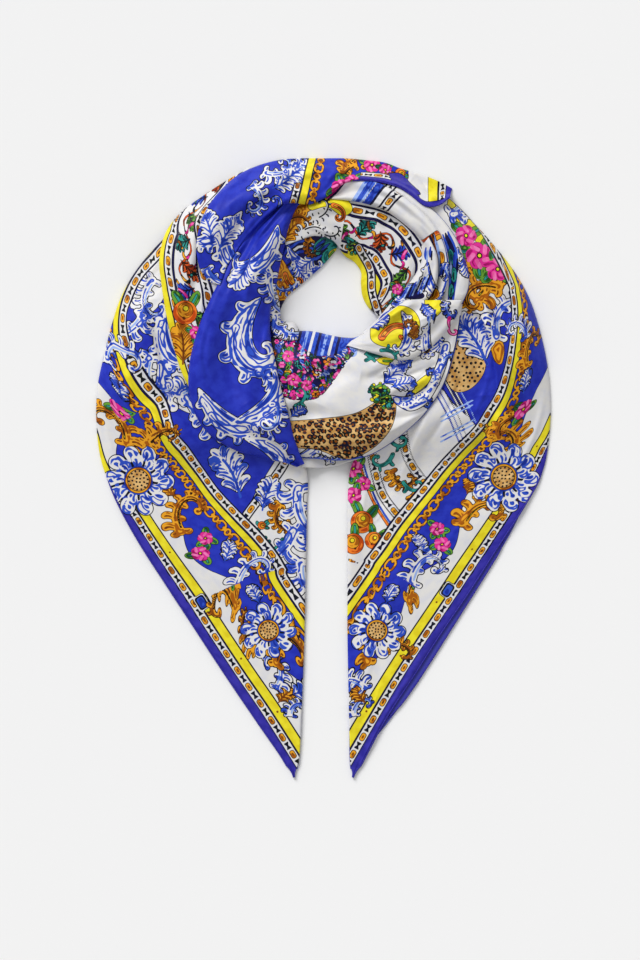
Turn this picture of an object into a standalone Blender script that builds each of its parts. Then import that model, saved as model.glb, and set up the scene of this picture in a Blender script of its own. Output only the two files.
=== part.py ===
"""Silk square scarf, wound into a loop and laid flat with both tails side by side.

The plan is drawn in millimetres: X to the right, Y away from the tails, Z up from the table.
Each stretch of cloth is a lofted sheet between edge curves. It is laid on what is below it, so the
stretches stack in the order in which the scarf was wound, and each keeps a small gap to the rest.
"""

import math
from collections import namedtuple

import bpy
import numpy as np
from mathutils.bvhtree import BVHTree

# Driving sizes, in millimetres.
WALL = 1.5              # thickness of one sheet of folded silk
GAP = 0.3               # clearance between two pieces
HEM_RADIUS = 1.1        # hand-rolled hem
CREST = 26.0            # height of the hidden turns at their crown
PLAN_CENTRE = (-0.1, -2.0)  # middle of the whole outline on the plan

# How finely the sheets are laid.
CELL = 1.5              # side of a cell of the height map
MAP_HALF = 400.0        # the height map reaches this far each way
LATTICE = 12            # samples along a triangle's side
SETTLE_STEPS = 40
CLOSE_ENOUGH = 0.01     # a lack of clearance that is left as it is
LARGEST_LIFT = 3.0      # a point's largest rise in one step of settling
RIM_GIVE = 0.1          # how readily a sheet's border rises, against 1 for its middle
END_ROUND = 1 / 6       # share of a stretch's length over which each end sinks
END_LOFT = 0.35         # share of the loft left at a stretch's very end
CURVE_STEPS = 16        # points read on a curve between two rows of a table
FOLD_STEPS = 48         # points read along a fold
HEM_STEPS = 12          # places between two points of a hem where its floor is read
MID = 0.5               # where a sheet with a middle curve has it, from 0 to 1 across

METRE = 0.001           # a millimetre, in metres


# ---------------------------------------------------------------------------------------------
# The plan. One row for each section along a stretch, with the points of its edge curves.

Ring = namedtuple("Ring", "in_x in_y crown_x crown_y out_x out_y height")
Strip = namedtuple("Strip", "a_x a_y b_x b_y loft")
Panel = namedtuple("Panel", "a_x a_y mid_x mid_y b_x b_y loft")
Outline = namedtuple("Outline", "a_x a_y b_x b_y")
Layer = namedtuple("Layer", "along up")
Fold = namedtuple("Fold", "a_x a_y via_x via_y b_x b_y width height")
Dart = namedtuple("Dart", "low full high height width")

# The hidden turns: hole edge, crown line and outer foot, clockwise from the top.
CORE = [
    Ring(13, 277, -2, 320, -2, 356, 1.0),
    Ring(32, 264, 62, 320, 77, 347, 1.0),
    Ring(46, 253, 118, 294, 140, 318, 1.0),
    Ring(55, 234, 154, 246, 208, 246, 1.0),
    Ring(56, 210, 152, 200, 244, 178, 0.95),
    Ring(68, 176, 134, 146, 252, 98, 0.9),
    Ring(54, 155, 98, 98, 214, 34, 0.9),
    Ring(32, 144, 58, 74, 92, 42, 0.95),
    Ring(2, 148, 14, 80, 11, 22, 1.0),
    Ring(-28, 152, -40, 80, -64, 26, 1.0),
    Ring(-47, 155, -94, 92, -186, 26, 0.9),
    Ring(-64, 167, -110, 138, -250, 70, 0.9),
    Ring(-69, 191, -112, 179, -244, 130, 0.95),
    Ring(-62, 210, -110, 218, -230, 190, 1.0),
    Ring(-47, 230, -103, 260, -194, 250, 1.0),
    Ring(-26, 251, -79, 294, -149, 305, 1.0),
    Ring(-4, 269, -40, 320, -82, 346, 1.0),
]

# One side of the ring's section, from foot to crown: the ends of three layers, then the round.
CORE_SIDE = [
    Layer(0.00, 0.00), Layer(0.00, 0.15), Layer(0.03, 0.19), Layer(0.02, 0.34),
    Layer(0.06, 0.38), Layer(0.05, 0.52), Layer(0.16, 0.74), Layer(0.42, 0.94),
]

BACK_LEFT = [
    Outline(-34, -363, -31, -362), Outline(-64, -313, -28, -313), Outline(-105, -256, -26, -258),
    Outline(-149, -188, -24, -196), Outline(-187, -128, -23, -136), Outline(-216, -82, -22, -88),
    Outline(-232, -49, -21, -46),
]

BACK_RIGHT = [
    Outline(35, -363, 32, -362), Outline(46, -345, 31, -344), Outline(76, -308, 31, -308),
    Outline(111, -260, 31, -260),
    Outline(155, -191, 31, -196), Outline(196, -126, 31, -136), Outline(223, -82, 31, -88),
    Outline(238, -52, 31, -46),
]

TAIL_LEFT = [
    Panel(-37, -373, -35, -372, -32, -371, 0),
    Panel(-49, -349, -38, -348, -29, -347, 0.5),
    Panel(-80, -304, -52, -306, -27, -306, 1.5),
    Panel(-118, -248, -69, -256, -25, -258, 2),
    Panel(-154, -193, -76, -198, -23, -198, 2.5),
    Panel(-190, -138, -76, -148, -22, -148, 3),
    Panel(-222, -88, -80, -102, -21, -97, 3),
    Panel(-248, -40, -103, -70, -20, -46, 3),
    Panel(-266, 6, -134, -30, -21, -4, 3),
    Panel(-272, 50, -163, 6, -46, 32, 4),
    Panel(-271, 95, -189, 50, -74, 74, 5),
    Panel(-263, 134, -208, 95, -93, 116, 6),
    Panel(-254, 170, -225, 140, -105, 158, 6),
    Panel(-243, 203, -230, 186, -115, 200, 5),
    Panel(-225, 235, -213, 224, -119, 239, 4),
    Panel(-199, 266, -187, 258, -115, 272, 3),
    Panel(-160, 304, -151, 296, -100, 301, 1),
]

TAIL_RIGHT = [
    Panel(37, -373, 35, -372, 32, -371, 0),
    Panel(49, -349, 40, -348, 32, -347, 0.5),
    Panel(73, -304, 52, -306, 31, -306, 1.5),
    Panel(106, -253, 68, -258, 30, -258, 2),
    Panel(140, -200, 73, -205, 29, -200, 2.5),
    Panel(174, -150, 73, -160, 29, -148, 3),
    Panel(208, -97, 86, -107, 29, -97, 3),
    Panel(239, -49, 122, -54, 29, -46, 3),
    Panel(263, -4, 161, -1, 34, 2, 3),
    Panel(271, 44, 195, 44, 58, 44, 4),
    Panel(272, 86, 208, 85, 82, 83, 5),
    Panel(267, 130, 206, 121, 98, 121, 6),
    Panel(257, 172, 197, 155, 109, 160, 6),
    Panel(244, 208, 187, 179, 116, 196, 5),
    Panel(224, 241, 169, 200, 121, 227, 4),
    Panel(197, 274, 158, 239, 121, 258, 3),
    Panel(166, 308, 140, 284, 108, 290, 2),
    Panel(140, 331, 118, 312, 98, 312, 1),
]

INNER_LEFT = [
    Strip(20, 277, 15, 260, 2), Strip(-4, 284, -2, 241, 3), Strip(-26, 277, -19, 226, 4),
    Strip(-44, 263, -32, 215, 4), Strip(-55, 241, -44, 204, 4), Strip(-62, 220, -51, 191, 3),
    Strip(-65, 200, -53, 180, 2),
]

BAND = [
    Strip(-55, 298, -45, 265, 2), Strip(-37, 316, -28, 271, 3), Strip(-10, 326, -10, 276, 4),
    Strip(15, 323, 11, 271, 4), Strip(41, 320, 25, 254, 4), Strip(70, 313, 37, 246, 5),
    Strip(98, 299, 45, 234, 5), Strip(121, 272, 45, 220, 5), Strip(130, 246, 47, 205, 5),
    Strip(125, 218, 53, 193, 4), Strip(106, 200, 61, 185, 3), Strip(86, 188, 67, 178, 2),
]

ROLL_OUTER = [
    Strip(58, 344, 53, 335, 2), Strip(82, 340, 76, 324, 6), Strip(103, 329, 93, 311, 9),
    Strip(124, 312, 112, 295, 11), Strip(143, 294, 129, 278, 12), Strip(158, 272, 140, 258, 13),
    Strip(167, 251, 143, 238, 13), Strip(173, 229, 143, 218, 12), Strip(172, 211, 138, 202, 9),
    Strip(165, 194, 130, 184, 6), Strip(158, 178, 128, 170, 3),
]

ROLL_MIDDLE = [
    Strip(17, 337, 3, 320, 3), Strip(34, 343, 26, 318, 7), Strip(58, 341, 50, 314, 10),
    Strip(82, 330, 73, 306, 12), Strip(103, 316, 92, 293, 13), Strip(122, 299, 110, 277, 14),
    Strip(137, 280, 123, 262, 14), Strip(146, 258, 128, 244, 14), Strip(149, 236, 130, 223, 13),
    Strip(146, 214, 122, 205, 10), Strip(137, 193, 112, 187, 6), Strip(130, 178, 108, 174, 3),
]

ROLL_INNER = [
    Strip(125, 272, 117, 263, 3), Strip(134, 253, 117, 246, 7), Strip(136, 234, 110, 230, 10),
    Strip(133, 215, 100, 216, 11), Strip(121, 197, 88, 203, 10), Strip(99, 186, 76, 190, 8),
    Strip(80, 172, 64, 176, 6), Strip(61, 156, 50, 163, 5), Strip(41, 146, 34, 151, 3),
]

FRIEZE = [
    Strip(-88, 359, -74, 330, 1), Strip(-117, 343, -88, 311, 3), Strip(-146, 324, -100, 289, 5),
    Strip(-171, 305, -111, 265, 6), Strip(-189, 280, -117, 241, 7), Strip(-196, 248, -122, 217, 8),
    Strip(-193, 216, -127, 192, 8), Strip(-187, 180, -134, 163, 7), Strip(-179, 145, -141, 136, 6),
    Strip(-169, 113, -145, 104, 4), Strip(-157, 88, -147, 84, 2),
]

COWL_UNDER = [
    Strip(-33, 32, -25, 0, 1), Strip(-16, 30, -7, -1, 1), Strip(3, 28, 13, 1, 1),
    Strip(22, 28, 29, 6, 1), Strip(39, 30, 46, 11, 1),
]

COWL_FRONT = [
    Strip(97, 197, 165, 193, 4), Strip(77, 184, 161, 163, 8), Strip(58, 168, 154, 130, 11),
    Strip(41, 156, 142, 96, 13), Strip(26, 155, 121, 64, 14), Strip(8, 158, 89, 35, 14),
    Strip(-10, 162, 55, 14, 13), Strip(-28, 163, 21, 8, 11), Strip(-44, 161, -9, 10, 8),
    Strip(-60, 156, -34, 12, 6), Strip(-80, 148, -60, 18, 3),
]

COWL_TWIST = [
    Strip(98, 198, 164, 198, 4), Strip(83, 187, 158, 180, 7), Strip(68, 175, 143, 158, 9),
    Strip(53, 163, 124, 140, 9), Strip(41, 155, 97, 127, 8), Strip(33, 150, 67, 133, 5),
    Strip(28, 145, 44, 140, 2),
]

LIP = [
    Strip(-67, 222, -60, 219, 1), Strip(-68, 205, -54, 202, 3), Strip(-67, 186, -52, 186, 5),
    Strip(-64, 169, -51, 176, 7),
    Strip(-56, 156, -45, 174, 8), Strip(-43, 151, -35, 173, 6), Strip(-31, 152, -29, 163, 3),
]

STRAND_LEFT = [
    Strip(-40, 325, -23, 323, 2), Strip(-62, 304, -35, 304, 5), Strip(-81, 287, -43, 282, 8),
    Strip(-97, 269, -47, 263, 10), Strip(-110, 250, -52, 241, 11), Strip(-121, 227, -57, 217, 12),
    Strip(-133, 203, -62, 198, 12), Strip(-145, 176, -64, 176, 13), Strip(-154, 148, -63, 152, 13),
    Strip(-160, 119, -58, 128, 13), Strip(-160, 90, -53, 104, 12), Strip(-152, 61, -47, 80, 11),
    Strip(-134, 37, -41, 59, 10), Strip(-105, 20, -37, 40, 8), Strip(-74, 11, -32, 25, 6),
    Strip(-47, 5, -27, 12, 4), Strip(-32, 0, -23, 4, 2),
]

CROWN = [
    Strip(154, 334, 151, 323, 0.5), Strip(139, 342, 137, 313, 2), Strip(122, 349, 121, 312, 3),
    Strip(106, 354, 104, 325, 4), Strip(92, 358, 88, 335, 5), Strip(73, 365, 64, 341, 6),
    Strip(49, 368, 41, 342, 7), Strip(25, 370, 22, 336, 8), Strip(-2, 370, 4, 322, 9),
    Strip(-28, 370, -16, 313, 9), Strip(-53, 368, -34, 314, 9), Strip(-79, 361, -51, 311, 9),
    Strip(-103, 349, -69, 298, 9), Strip(-123, 330, -85, 282, 8), Strip(-139, 307, -98, 266, 7),
    Strip(-148, 283, -107, 252, 6), Strip(-151, 258, -115, 240, 5), Strip(-146, 234, -119, 228, 4),
    Strip(-135, 220, -123, 217, 2),
]

# The largest folds of each stretch, on the plan: ridges, and troughs with a height below zero. Each
# runs from a through via to b.
FOLDS = {
    "tail_left": [
        Fold(-194, 246, -206, 215, -235, 193, 8, -4.5),
        Fold(-205, 200, -196, 150, -175, 100, 7, -7.5),
        Fold(-223, 194, -218, 138, -189, 78, 10, 6),
        Fold(-169, 95, -148, 42, -100, -6, 10, -6),
        Fold(-208, 83, -175, 42, -131, -4, 11, 4.5),
        Fold(-141, -4, -105, -88, -57, -181, 14, 4),
        Fold(-244, 6, -208, -88, -141, -193, 17, -2.25),
        Fold(-74, -23, -47, -112, -33, -232, 11, -2.25),
    ],
    "tail_right": [
        Fold(171, 193, 185, 146, 193, 86, 8, -9),
        Fold(135, 83, 113, 32, 85, -30, 11, 6),
        Fold(94, 35, 77, -18, 51, -94, 10, -4.5),
        Fold(212, 277, 238, 200, 248, 100, 12, 4.5),
        Fold(178, 289, 200, 215, 221, 155, 8, -4.5),
        Fold(149, -4, 106, -94, 58, -208, 14, 4),
        Fold(260, 32, 212, -76, 140, -184, 17, -2.25),
        Fold(73, -30, 51, -112, 39, -232, 11, -2.25),
    ],
    "inner_wall_left": [
        Fold(-28, 272, -35, 246, -50, 210, 7, -4.5),
        Fold(-2, 268, -21, 246, -38, 222, 7, 4),
    ],
    "inner_band": [
        Fold(-31, 299, 8, 311, 53, 305, 7, 6),
        Fold(17, 269, 46, 246, 58, 198, 7, -6),
        Fold(34, 304, 89, 282, 106, 229, 11, -4.5),
        Fold(77, 289, 101, 260, 92, 215, 8, 4.5),
    ],
    "roll_outer": [
        Fold(94, 323, 140, 284, 155, 244, 7, -5),
        Fold(147, 277, 161, 246, 164, 205, 7, -3),
    ],
    "roll_middle": [
        Fold(26, 330, 86, 313, 128, 270, 7, -4.5),
        Fold(142, 258, 140, 224, 130, 200, 7, -5),
    ],
    "roll_inner": [
        Fold(129, 253, 119, 217, 87, 194, 7, -7),
    ],
    "frieze_strand": [
        Fold(-98, 347, -165, 292, -172, 210, 7, -6),
        Fold(-124, 323, -153, 277, -153, 200, 8, 6),
        Fold(-136, 265, -158, 200, -163, 140, 7, -6),
    ],
    "cowl_front": [
        Fold(133, 124, 94, 107, 44, 107, 7, -9),
        Fold(128, 115, 101, 100, 75, 88, 7, 6),
        Fold(133, 100, 109, 85, 68, 74, 7, -9),
        Fold(27, 146, 11, 114, -7, 76, 11, -6),
        Fold(128, 78, 75, 43, -7, 32, 13, 7.5),
        Fold(-47, 138, -31, 114, -19, 80, 16, 5),
        Fold(159, 186, 149, 150, 140, 112, 7, -7.5),
        Fold(116, 76, 77, 56, 8, 59, 7, -5),
    ],
    "cowl_twist": [
        Fold(142, 191, 99, 158, 46, 146, 11, 6),
        Fold(130, 198, 98, 178, 58, 157, 7, -6),
        Fold(155, 191, 128, 161, 89, 136, 7, -6),
    ],
    "lip_left": [
        Fold(-64, 200, -59, 174, -40, 164, 7, 4.5),
    ],
    "strand_left": [
        Fold(-40, 304, -74, 246, -107, 160, 12, 7),
        Fold(-35, 294, -56, 224, -74, 152, 7, -7.5),
        Fold(-59, 126, -74, 68, -43, 20, 10, -7.5),
        Fold(-129, 167, -143, 104, -105, 42, 13, 7),
        Fold(-95, 200, -115, 140, -91, 76, 11, -6),
        Fold(-122, 76, -93, 42, -47, 20, 7, -5),
    ],
    "crown_strand": [
        Fold(37, 356, 15, 338, -7, 318, 7, -7.5),
        Fold(-23, 365, -37, 344, -44, 318, 7, -7.5),
        Fold(10, 362, -40, 347, -100, 304, 11, 7),
        Fold(-47, 325, -88, 301, -119, 244, 7, -7),
        Fold(-98, 335, -127, 296, -134, 241, 10, 6),
        Fold(104, 342, 121, 332, 140, 325, 7, -4.5),
        Fold(-64, 364, -105, 332, -136, 277, 7, -4.5),
    ],
}

# The pleat at the right shoulder: the border side stands above the field side of the middle curve.
# It opens from low to full on the plan's Y and closes at high.
SHOULDER_DART = Dart(low=66, full=128, high=262, height=13.0, width=34.0)


# ---------------------------------------------------------------------------------------------
# Curves and sheets.

def smooth_curve(table, closed=False):
    """Read a Catmull-Rom curve through the rows of a table."""
    rows = np.array(table, float)
    if closed:
        rows = np.vstack([rows[-1:], rows, rows[:2]])
    else:
        rows = np.vstack([2 * rows[0] - rows[1], rows, 2 * rows[-1] - rows[-2]])
    t = np.linspace(0, 1, CURVE_STEPS, endpoint=False)[:, None]
    spans = []
    for before, here, after, beyond in zip(rows, rows[1:], rows[2:], rows[3:]):
        spans.append(here + 0.5 * ((after - before) * t
                                   + (2 * before - 5 * here + 4 * after - beyond) * t ** 2
                                   + (3 * here - before - 3 * after + beyond) * t ** 3))
    spans.append(rows[-2:-1])
    return np.vstack(spans)


def even_sections(table, count, closed=False):
    """Read the curve at places an even distance apart; the last column isn't a length."""
    fine = smooth_curve(table, closed)
    steps = np.linalg.norm(np.diff(fine[:, :-1], axis=0), axis=1)
    walked = np.concatenate([[0], np.cumsum(steps)])
    wanted = np.linspace(0, walked[-1], count)
    return np.column_stack([np.interp(wanted, walked, column) for column in fine.T])


def eased(count):
    """Places across a sheet, closer together near its edges."""
    even = np.linspace(0, 1, count)
    return 0.45 * even + 0.55 * (0.5 - 0.5 * np.cos(math.pi * even))


def plan_points(sections, across):
    """Points of the sheet on the plan, along by across, and the width at each section."""
    edges = sections[:, :-1].reshape(len(sections), -1, 2) - np.array(PLAN_CENTRE)
    knots = np.linspace(0, 1, edges.shape[1])
    plan = np.empty((len(sections), len(across), 2))
    for row, points in enumerate(edges):
        for axis in range(2):
            plan[row, :, axis] = np.interp(across, knots, points[:, axis])
    width = np.linalg.norm(np.diff(edges, axis=1), axis=2).sum(axis=1)
    return plan, width


def quarter_round(share):
    """Rise of a rounded edge, from 0 at the edge to 1 a full round in from it."""
    inward = 1 - np.clip(share, 0, 1)
    return np.sqrt(1 - inward ** 2)


def fold_height(name, plan):
    """Heights of the named stretch's folds, each fading out at its ends."""
    reach = np.linspace(0, 1, FOLD_STEPS)
    total = np.zeros(plan.shape[:2])
    for fold in FOLDS.get(name, []):
        start, via, end = np.array(fold[:6]).reshape(3, 2) - np.array(PLAN_CENTRE)
        bend = 2 * via - (start + end) / 2
        line = (np.outer((1 - reach) ** 2, start) + np.outer(2 * reach * (1 - reach), bend)
                + np.outer(reach ** 2, end))
        off = np.linalg.norm(plan[..., None, :] - line, axis=-1)
        fade = np.sin(math.pi * reach[off.argmin(axis=-1)]) ** 0.7
        total += fold.height * fade * np.exp(-(off.min(axis=-1) / fold.width) ** 2)
    return total


def dart_height(dart, plan, across, width):
    """A step up on the near side of the middle curve, which dies out away from it."""
    level = plan[:, np.abs(across - MID).argmin(), 1] + PLAN_CENTRE[1]
    rise = np.clip((level - dart.low) / (dart.full - dart.low), 0, 1)
    fall = np.clip((dart.high - level) / (dart.high - dart.full), 0, 1)
    off = (MID - across[None, :]) * width[:, None]
    side = np.where(off >= 0, np.exp(-(off / dart.width) ** 2), 0)
    return dart.height * (rise * np.sqrt(fall))[:, None] * side


# ---------------------------------------------------------------------------------------------
# Laying the sheets on each other.

class Ground:
    """The tops of the pieces laid so far, on a grid of square cells, and the pieces themselves."""

    def __init__(self):
        cells = int(2 * MAP_HALF / CELL)
        self.top = np.zeros((cells, cells))
        self.trees = []

    def cells(self, points):
        """Indices of the cells that the points lie over."""
        index = ((points[:, :2] + MAP_HALF) / CELL).astype(int)
        return tuple(np.clip(index, 0, len(self.top) - 1).T)

    def height(self, points):
        """Height of what lies under each point."""
        return self.top[self.cells(points)]

    def add(self, points, faces):
        """Lay a closed piece, given by its points and triangles."""
        spread = over_faces(points, faces)[0]
        np.maximum.at(self.top, self.cells(spread), spread[:, 2])
        self.trees.append(BVHTree.FromPolygons(points.tolist(), faces.tolist()))


def over_faces(points, faces):
    """Sample points spread over each triangle, with their triangles and corner weights."""
    steps = np.arange(LATTICE + 1) / LATTICE
    first, second = np.meshgrid(steps, steps, indexing="ij")
    inside = first + second <= 1 + 1e-9
    weights = np.column_stack([first[inside], second[inside], 1 - (first + second)[inside]])
    spread = np.einsum("sk,fkx->fsx", weights, points[faces]).reshape(-1, 3)
    face = np.repeat(np.arange(len(faces)), len(weights))
    return spread, face, np.tile(weights, (len(faces), 1))


def grid_faces(rows, columns):
    """Triangles of a grid of points, their order such that a grid laid left to right faces up."""
    first = (np.arange(rows - 1)[:, None] * columns + np.arange(columns - 1)[None, :]).ravel()
    right, below, across = first + 1, first + columns, first + columns + 1
    return np.vstack([np.column_stack([first, right, across]),
                      np.column_stack([first, across, below])])


def border_loop(rows, columns):
    """Indices of the grid's points along its border, in order."""
    last = (rows - 1) * columns
    return np.concatenate([
        np.arange(columns - 1), np.arange(columns - 1, rows * columns - 1, columns),
        np.arange(rows * columns - 1, last, -1), np.arange(last, 0, -columns),
    ])


def corner_normals(points, faces):
    """Normals of the points, as Blender averages them: by the angle of each corner."""
    corners = points[faces]
    normal = np.cross(corners[:, 1] - corners[:, 0], corners[:, 2] - corners[:, 0])
    normal /= np.linalg.norm(normal, axis=1, keepdims=True)
    total = np.zeros_like(points)
    for k in range(3):
        before = corners[:, k - 1] - corners[:, k]
        after = corners[:, (k + 1) % 3] - corners[:, k]
        cosine = (before * after).sum(axis=1)
        cosine /= np.linalg.norm(before, axis=1) * np.linalg.norm(after, axis=1)
        np.add.at(total, faces[:, k], normal * np.arccos(np.clip(cosine, -1, 1))[:, None])
    return total / np.linalg.norm(total, axis=1, keepdims=True)


def walled(points, faces, border):
    """The sheet as a closed wall: its top, its underside and the rim between them."""
    under = points - WALL * corner_normals(points, faces)
    count = len(points)
    following = np.roll(border, -1)
    rim = np.vstack([np.column_stack([border, border + count, following + count]),
                     np.column_stack([border, following + count, following])])
    return np.vstack([points, under]), np.vstack([faces, faces[:, ::-1] + count, rim])


def soften(height, keep, border_too=False):
    """Average each height with its neighbours', with the border kept unless it is told not to."""
    wide = np.pad(height, 1, mode="edge")
    mean = (wide[:-2, 1:-1] + wide[2:, 1:-1] + wide[1:-1, :-2] + wide[1:-1, 2:]) / 4
    soft = keep * height + (1 - keep) * mean
    if not border_too:
        soft[[0, -1], :], soft[:, [0, -1]] = height[[0, -1], :], height[:, [0, -1]]
    return soft


def carried_along(base):
    """A smooth run over the bumps below: the highest of each section and the two beside it."""
    wide = np.pad(base, ((1, 1), (0, 0)), mode="edge")
    run = np.maximum(np.maximum(wide[:-2], wide[1:-1]), wide[2:])
    for _ in range(3):
        wide = np.pad(run, ((1, 1), (0, 0)), mode="edge")
        run = (wide[:-2] + 2 * wide[1:-1] + wide[2:]) / 4
    return np.maximum(run, base)


def lift_clear(points, faces, border, ground, grid):
    """Lift the sheet's points until its underside clears all that lies below it."""
    give = np.ones(len(points))
    give[border] = RIM_GIVE
    shape = points[:, 2].copy()
    raised = np.zeros(len(points))
    for step in range(SETTLE_STEPS):
        points[:, 2] = shape + raised
        under = points - WALL * corner_normals(points, faces)
        spread, face, weights = over_faces(under, faces)
        lack = ground.height(spread) + GAP - spread[:, 2]
        short = lack > CLOSE_ENOUGH
        if not short.any():
            break
        corners, part, need = faces[face[short]], weights[short], lack[short]
        share = part * give[corners]
        share /= (share * part).sum(axis=1, keepdims=True)
        lift = np.zeros(len(points))
        np.maximum.at(lift, corners.ravel(), (share * need[:, None]).ravel())
        raised += np.minimum(lift, LARGEST_LIFT)
        if step < SETTLE_STEPS // 2:
            raised = soften(raised.reshape(grid), 0.85, border_too=True).ravel()
    points[:, 2] = shape + raised
    return points


def part_from_pieces(points, faces, border, ground):
    """Lift whatever still touches a piece below it, face by face."""
    for _ in range(SETTLE_STEPS):
        wall, wall_faces = walled(points, faces, border)
        lowered = wall - np.array([0, 0, GAP / 3])
        tree = BVHTree.FromPolygons(lowered.tolist(), wall_faces.tolist())
        hits = {pair[0] for other in ground.trees for pair in tree.overlap(other)}
        if not hits:
            break
        touched = np.unique(wall_faces[list(hits)] % len(points))
        points[touched, 2] += GAP
    return points


def lay_sheet(name, table, count, across, rounds, ground, dart=None):
    """Loft one stretch over what is below it and return its sheet of top points."""
    sections = even_sections(table, count)
    plan, width = plan_points(sections, across)
    along = np.linspace(0, 1, count)
    grid = plan.shape[:2]
    flat = np.column_stack([plan.reshape(-1, 2), np.zeros(plan[..., 0].size)])
    base = (ground.height(flat) + GAP + WALL).reshape(grid)
    carried = carried_along(base)
    draped = carried
    for _ in range(4):
        draped = np.maximum(carried, soften(draped, 0.4))
    edge = quarter_round(across / rounds[0]) * quarter_round((1 - across) / rounds[1])
    ends = quarter_round(along / END_ROUND) * quarter_round((1 - along) / END_ROUND)
    loft = sections[:, -1:] * (END_LOFT + (1 - END_LOFT) * ends[:, None])
    height = draped + loft * edge
    height += fold_height(name, plan) * edge
    if dart:
        height += dart_height(dart, plan, across, width)
    flat[:, 2] = np.maximum(height, base).ravel()
    faces = grid_faces(*grid)
    border = border_loop(*grid)
    if corner_normals(flat, faces)[:, 2].mean() < 0:
        faces, border = faces[:, ::-1], border[::-1]
    points = lift_clear(flat, faces, border, ground, grid)
    return part_from_pieces(points, faces, border, ground), faces, border, grid


# ---------------------------------------------------------------------------------------------
# Objects.

def clear_scene():
    """Remove whatever the scene holds."""
    for thing in list(bpy.data.objects):
        bpy.data.objects.remove(thing)


def silk(name, colour, roughness=0.45):
    """A plain silk material in one colour."""
    material = bpy.data.materials.new(name)
    material.use_nodes = True
    shader = material.node_tree.nodes["Principled BSDF"]
    shader.inputs["Base Color"].default_value = (*colour, 1)
    shader.inputs["Roughness"].default_value = roughness
    shader.inputs["Metallic"].default_value = 0
    return material


def add_object(name, data, colour, collection):
    """Put a mesh or curve into the collection with its own material."""
    thing = bpy.data.objects.new(name, data)
    data.materials.append(silk(f"{name}_silk", colour))
    collection.objects.link(thing)
    return thing


def mesh_from(name, points, faces):
    """A smooth-shaded mesh from points in millimetres and triangles."""
    mesh = bpy.data.meshes.new(name)
    mesh.from_pydata((points * METRE).tolist(), [], faces.tolist())
    mesh.shade_smooth()
    return mesh


def add_cloth(name, table, count, across, rounds, colour, ground, collection, dart=None):
    """Model one stretch as an open sheet with a Solidify wall, and lay it on the ground."""
    points, faces, border, grid = lay_sheet(name, table, count, across, rounds, ground, dart)
    thing = add_object(name, mesh_from(name, points, faces), colour, collection)
    wall = thing.modifiers.new("wall", "SOLIDIFY")
    wall.thickness = WALL * METRE
    wall.offset = -1
    ground.add(*walled(points, faces, border)[:2])
    return points.reshape(*grid, 3)


def add_core(ground, collection):
    """The hidden turns: one closed ring, lofted section by section, flat underneath."""
    sections = even_sections(CORE, 43, closed=True)[:-1]
    points = []
    for row in sections:
        inner, crown, outer = row[:6].reshape(3, 2) - np.array(PLAN_CENTRE)
        top = CREST * row[6]
        up = [(*(inner + (crown - inner) * side.along), top * side.up) for side in CORE_SIDE]
        down = [(*(outer + (crown - outer) * side.along), top * side.up) for side in CORE_SIDE]
        points.append([*up, (*crown, top), *reversed(down)])
    ring = np.array(points)
    rows, columns = ring.shape[:2]
    faces = []
    for row in range(rows):
        ahead = (row + 1) % rows
        for column in range(columns):
            beside = (column + 1) % columns
            corners = [row * columns + column, row * columns + beside,
                       ahead * columns + beside, ahead * columns + column]
            faces += [[corners[0], corners[1], corners[2]], [corners[0], corners[2], corners[3]]]
    points, faces = ring.reshape(-1, 3), np.array(faces)
    volume = np.einsum("ij,ij->i", points[faces[:, 0]],
                       np.cross(points[faces[:, 1]], points[faces[:, 2]])).sum()
    if volume < 0:
        faces = faces[:, ::-1]
    add_object("core", mesh_from("core", points, faces), (0.16, 0.2, 0.6), collection)
    ground.add(points, faces)


def add_back(name, table, ground, collection):
    """The under layer of a tail: a flat outline on the table."""
    rows = smooth_curve(table)[::CURVE_STEPS // 2, :]
    outline = np.vstack([rows[:, :2], rows[::-1, 2:4]]) - np.array(PLAN_CENTRE)
    curve = bpy.data.curves.new(name, "CURVE")
    curve.dimensions = "2D"
    curve.fill_mode = "BOTH"
    curve.extrude = WALL / 2 * METRE
    spline = curve.splines.new("POLY")
    spline.points.add(len(outline) - 1)
    for point, (x, y) in zip(spline.points, outline * METRE):
        point.co = (x, y, 0, 1)
    spline.use_cyclic_u = True
    thing = add_object(name, curve, (0.12, 0.14, 0.5), collection)
    thing.location.z = WALL / 2 * METRE
    half = len(rows)
    plate = np.column_stack([outline, np.full(len(outline), WALL)])
    strip = []
    for row in range(half - 1):
        far = len(outline) - 1 - row
        strip += [[row, row + 1, far], [row + 1, far - 1, far]]
    ground.add(plate, np.array(strip))
    return rows - np.tile(PLAN_CENTRE, 2)


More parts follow.
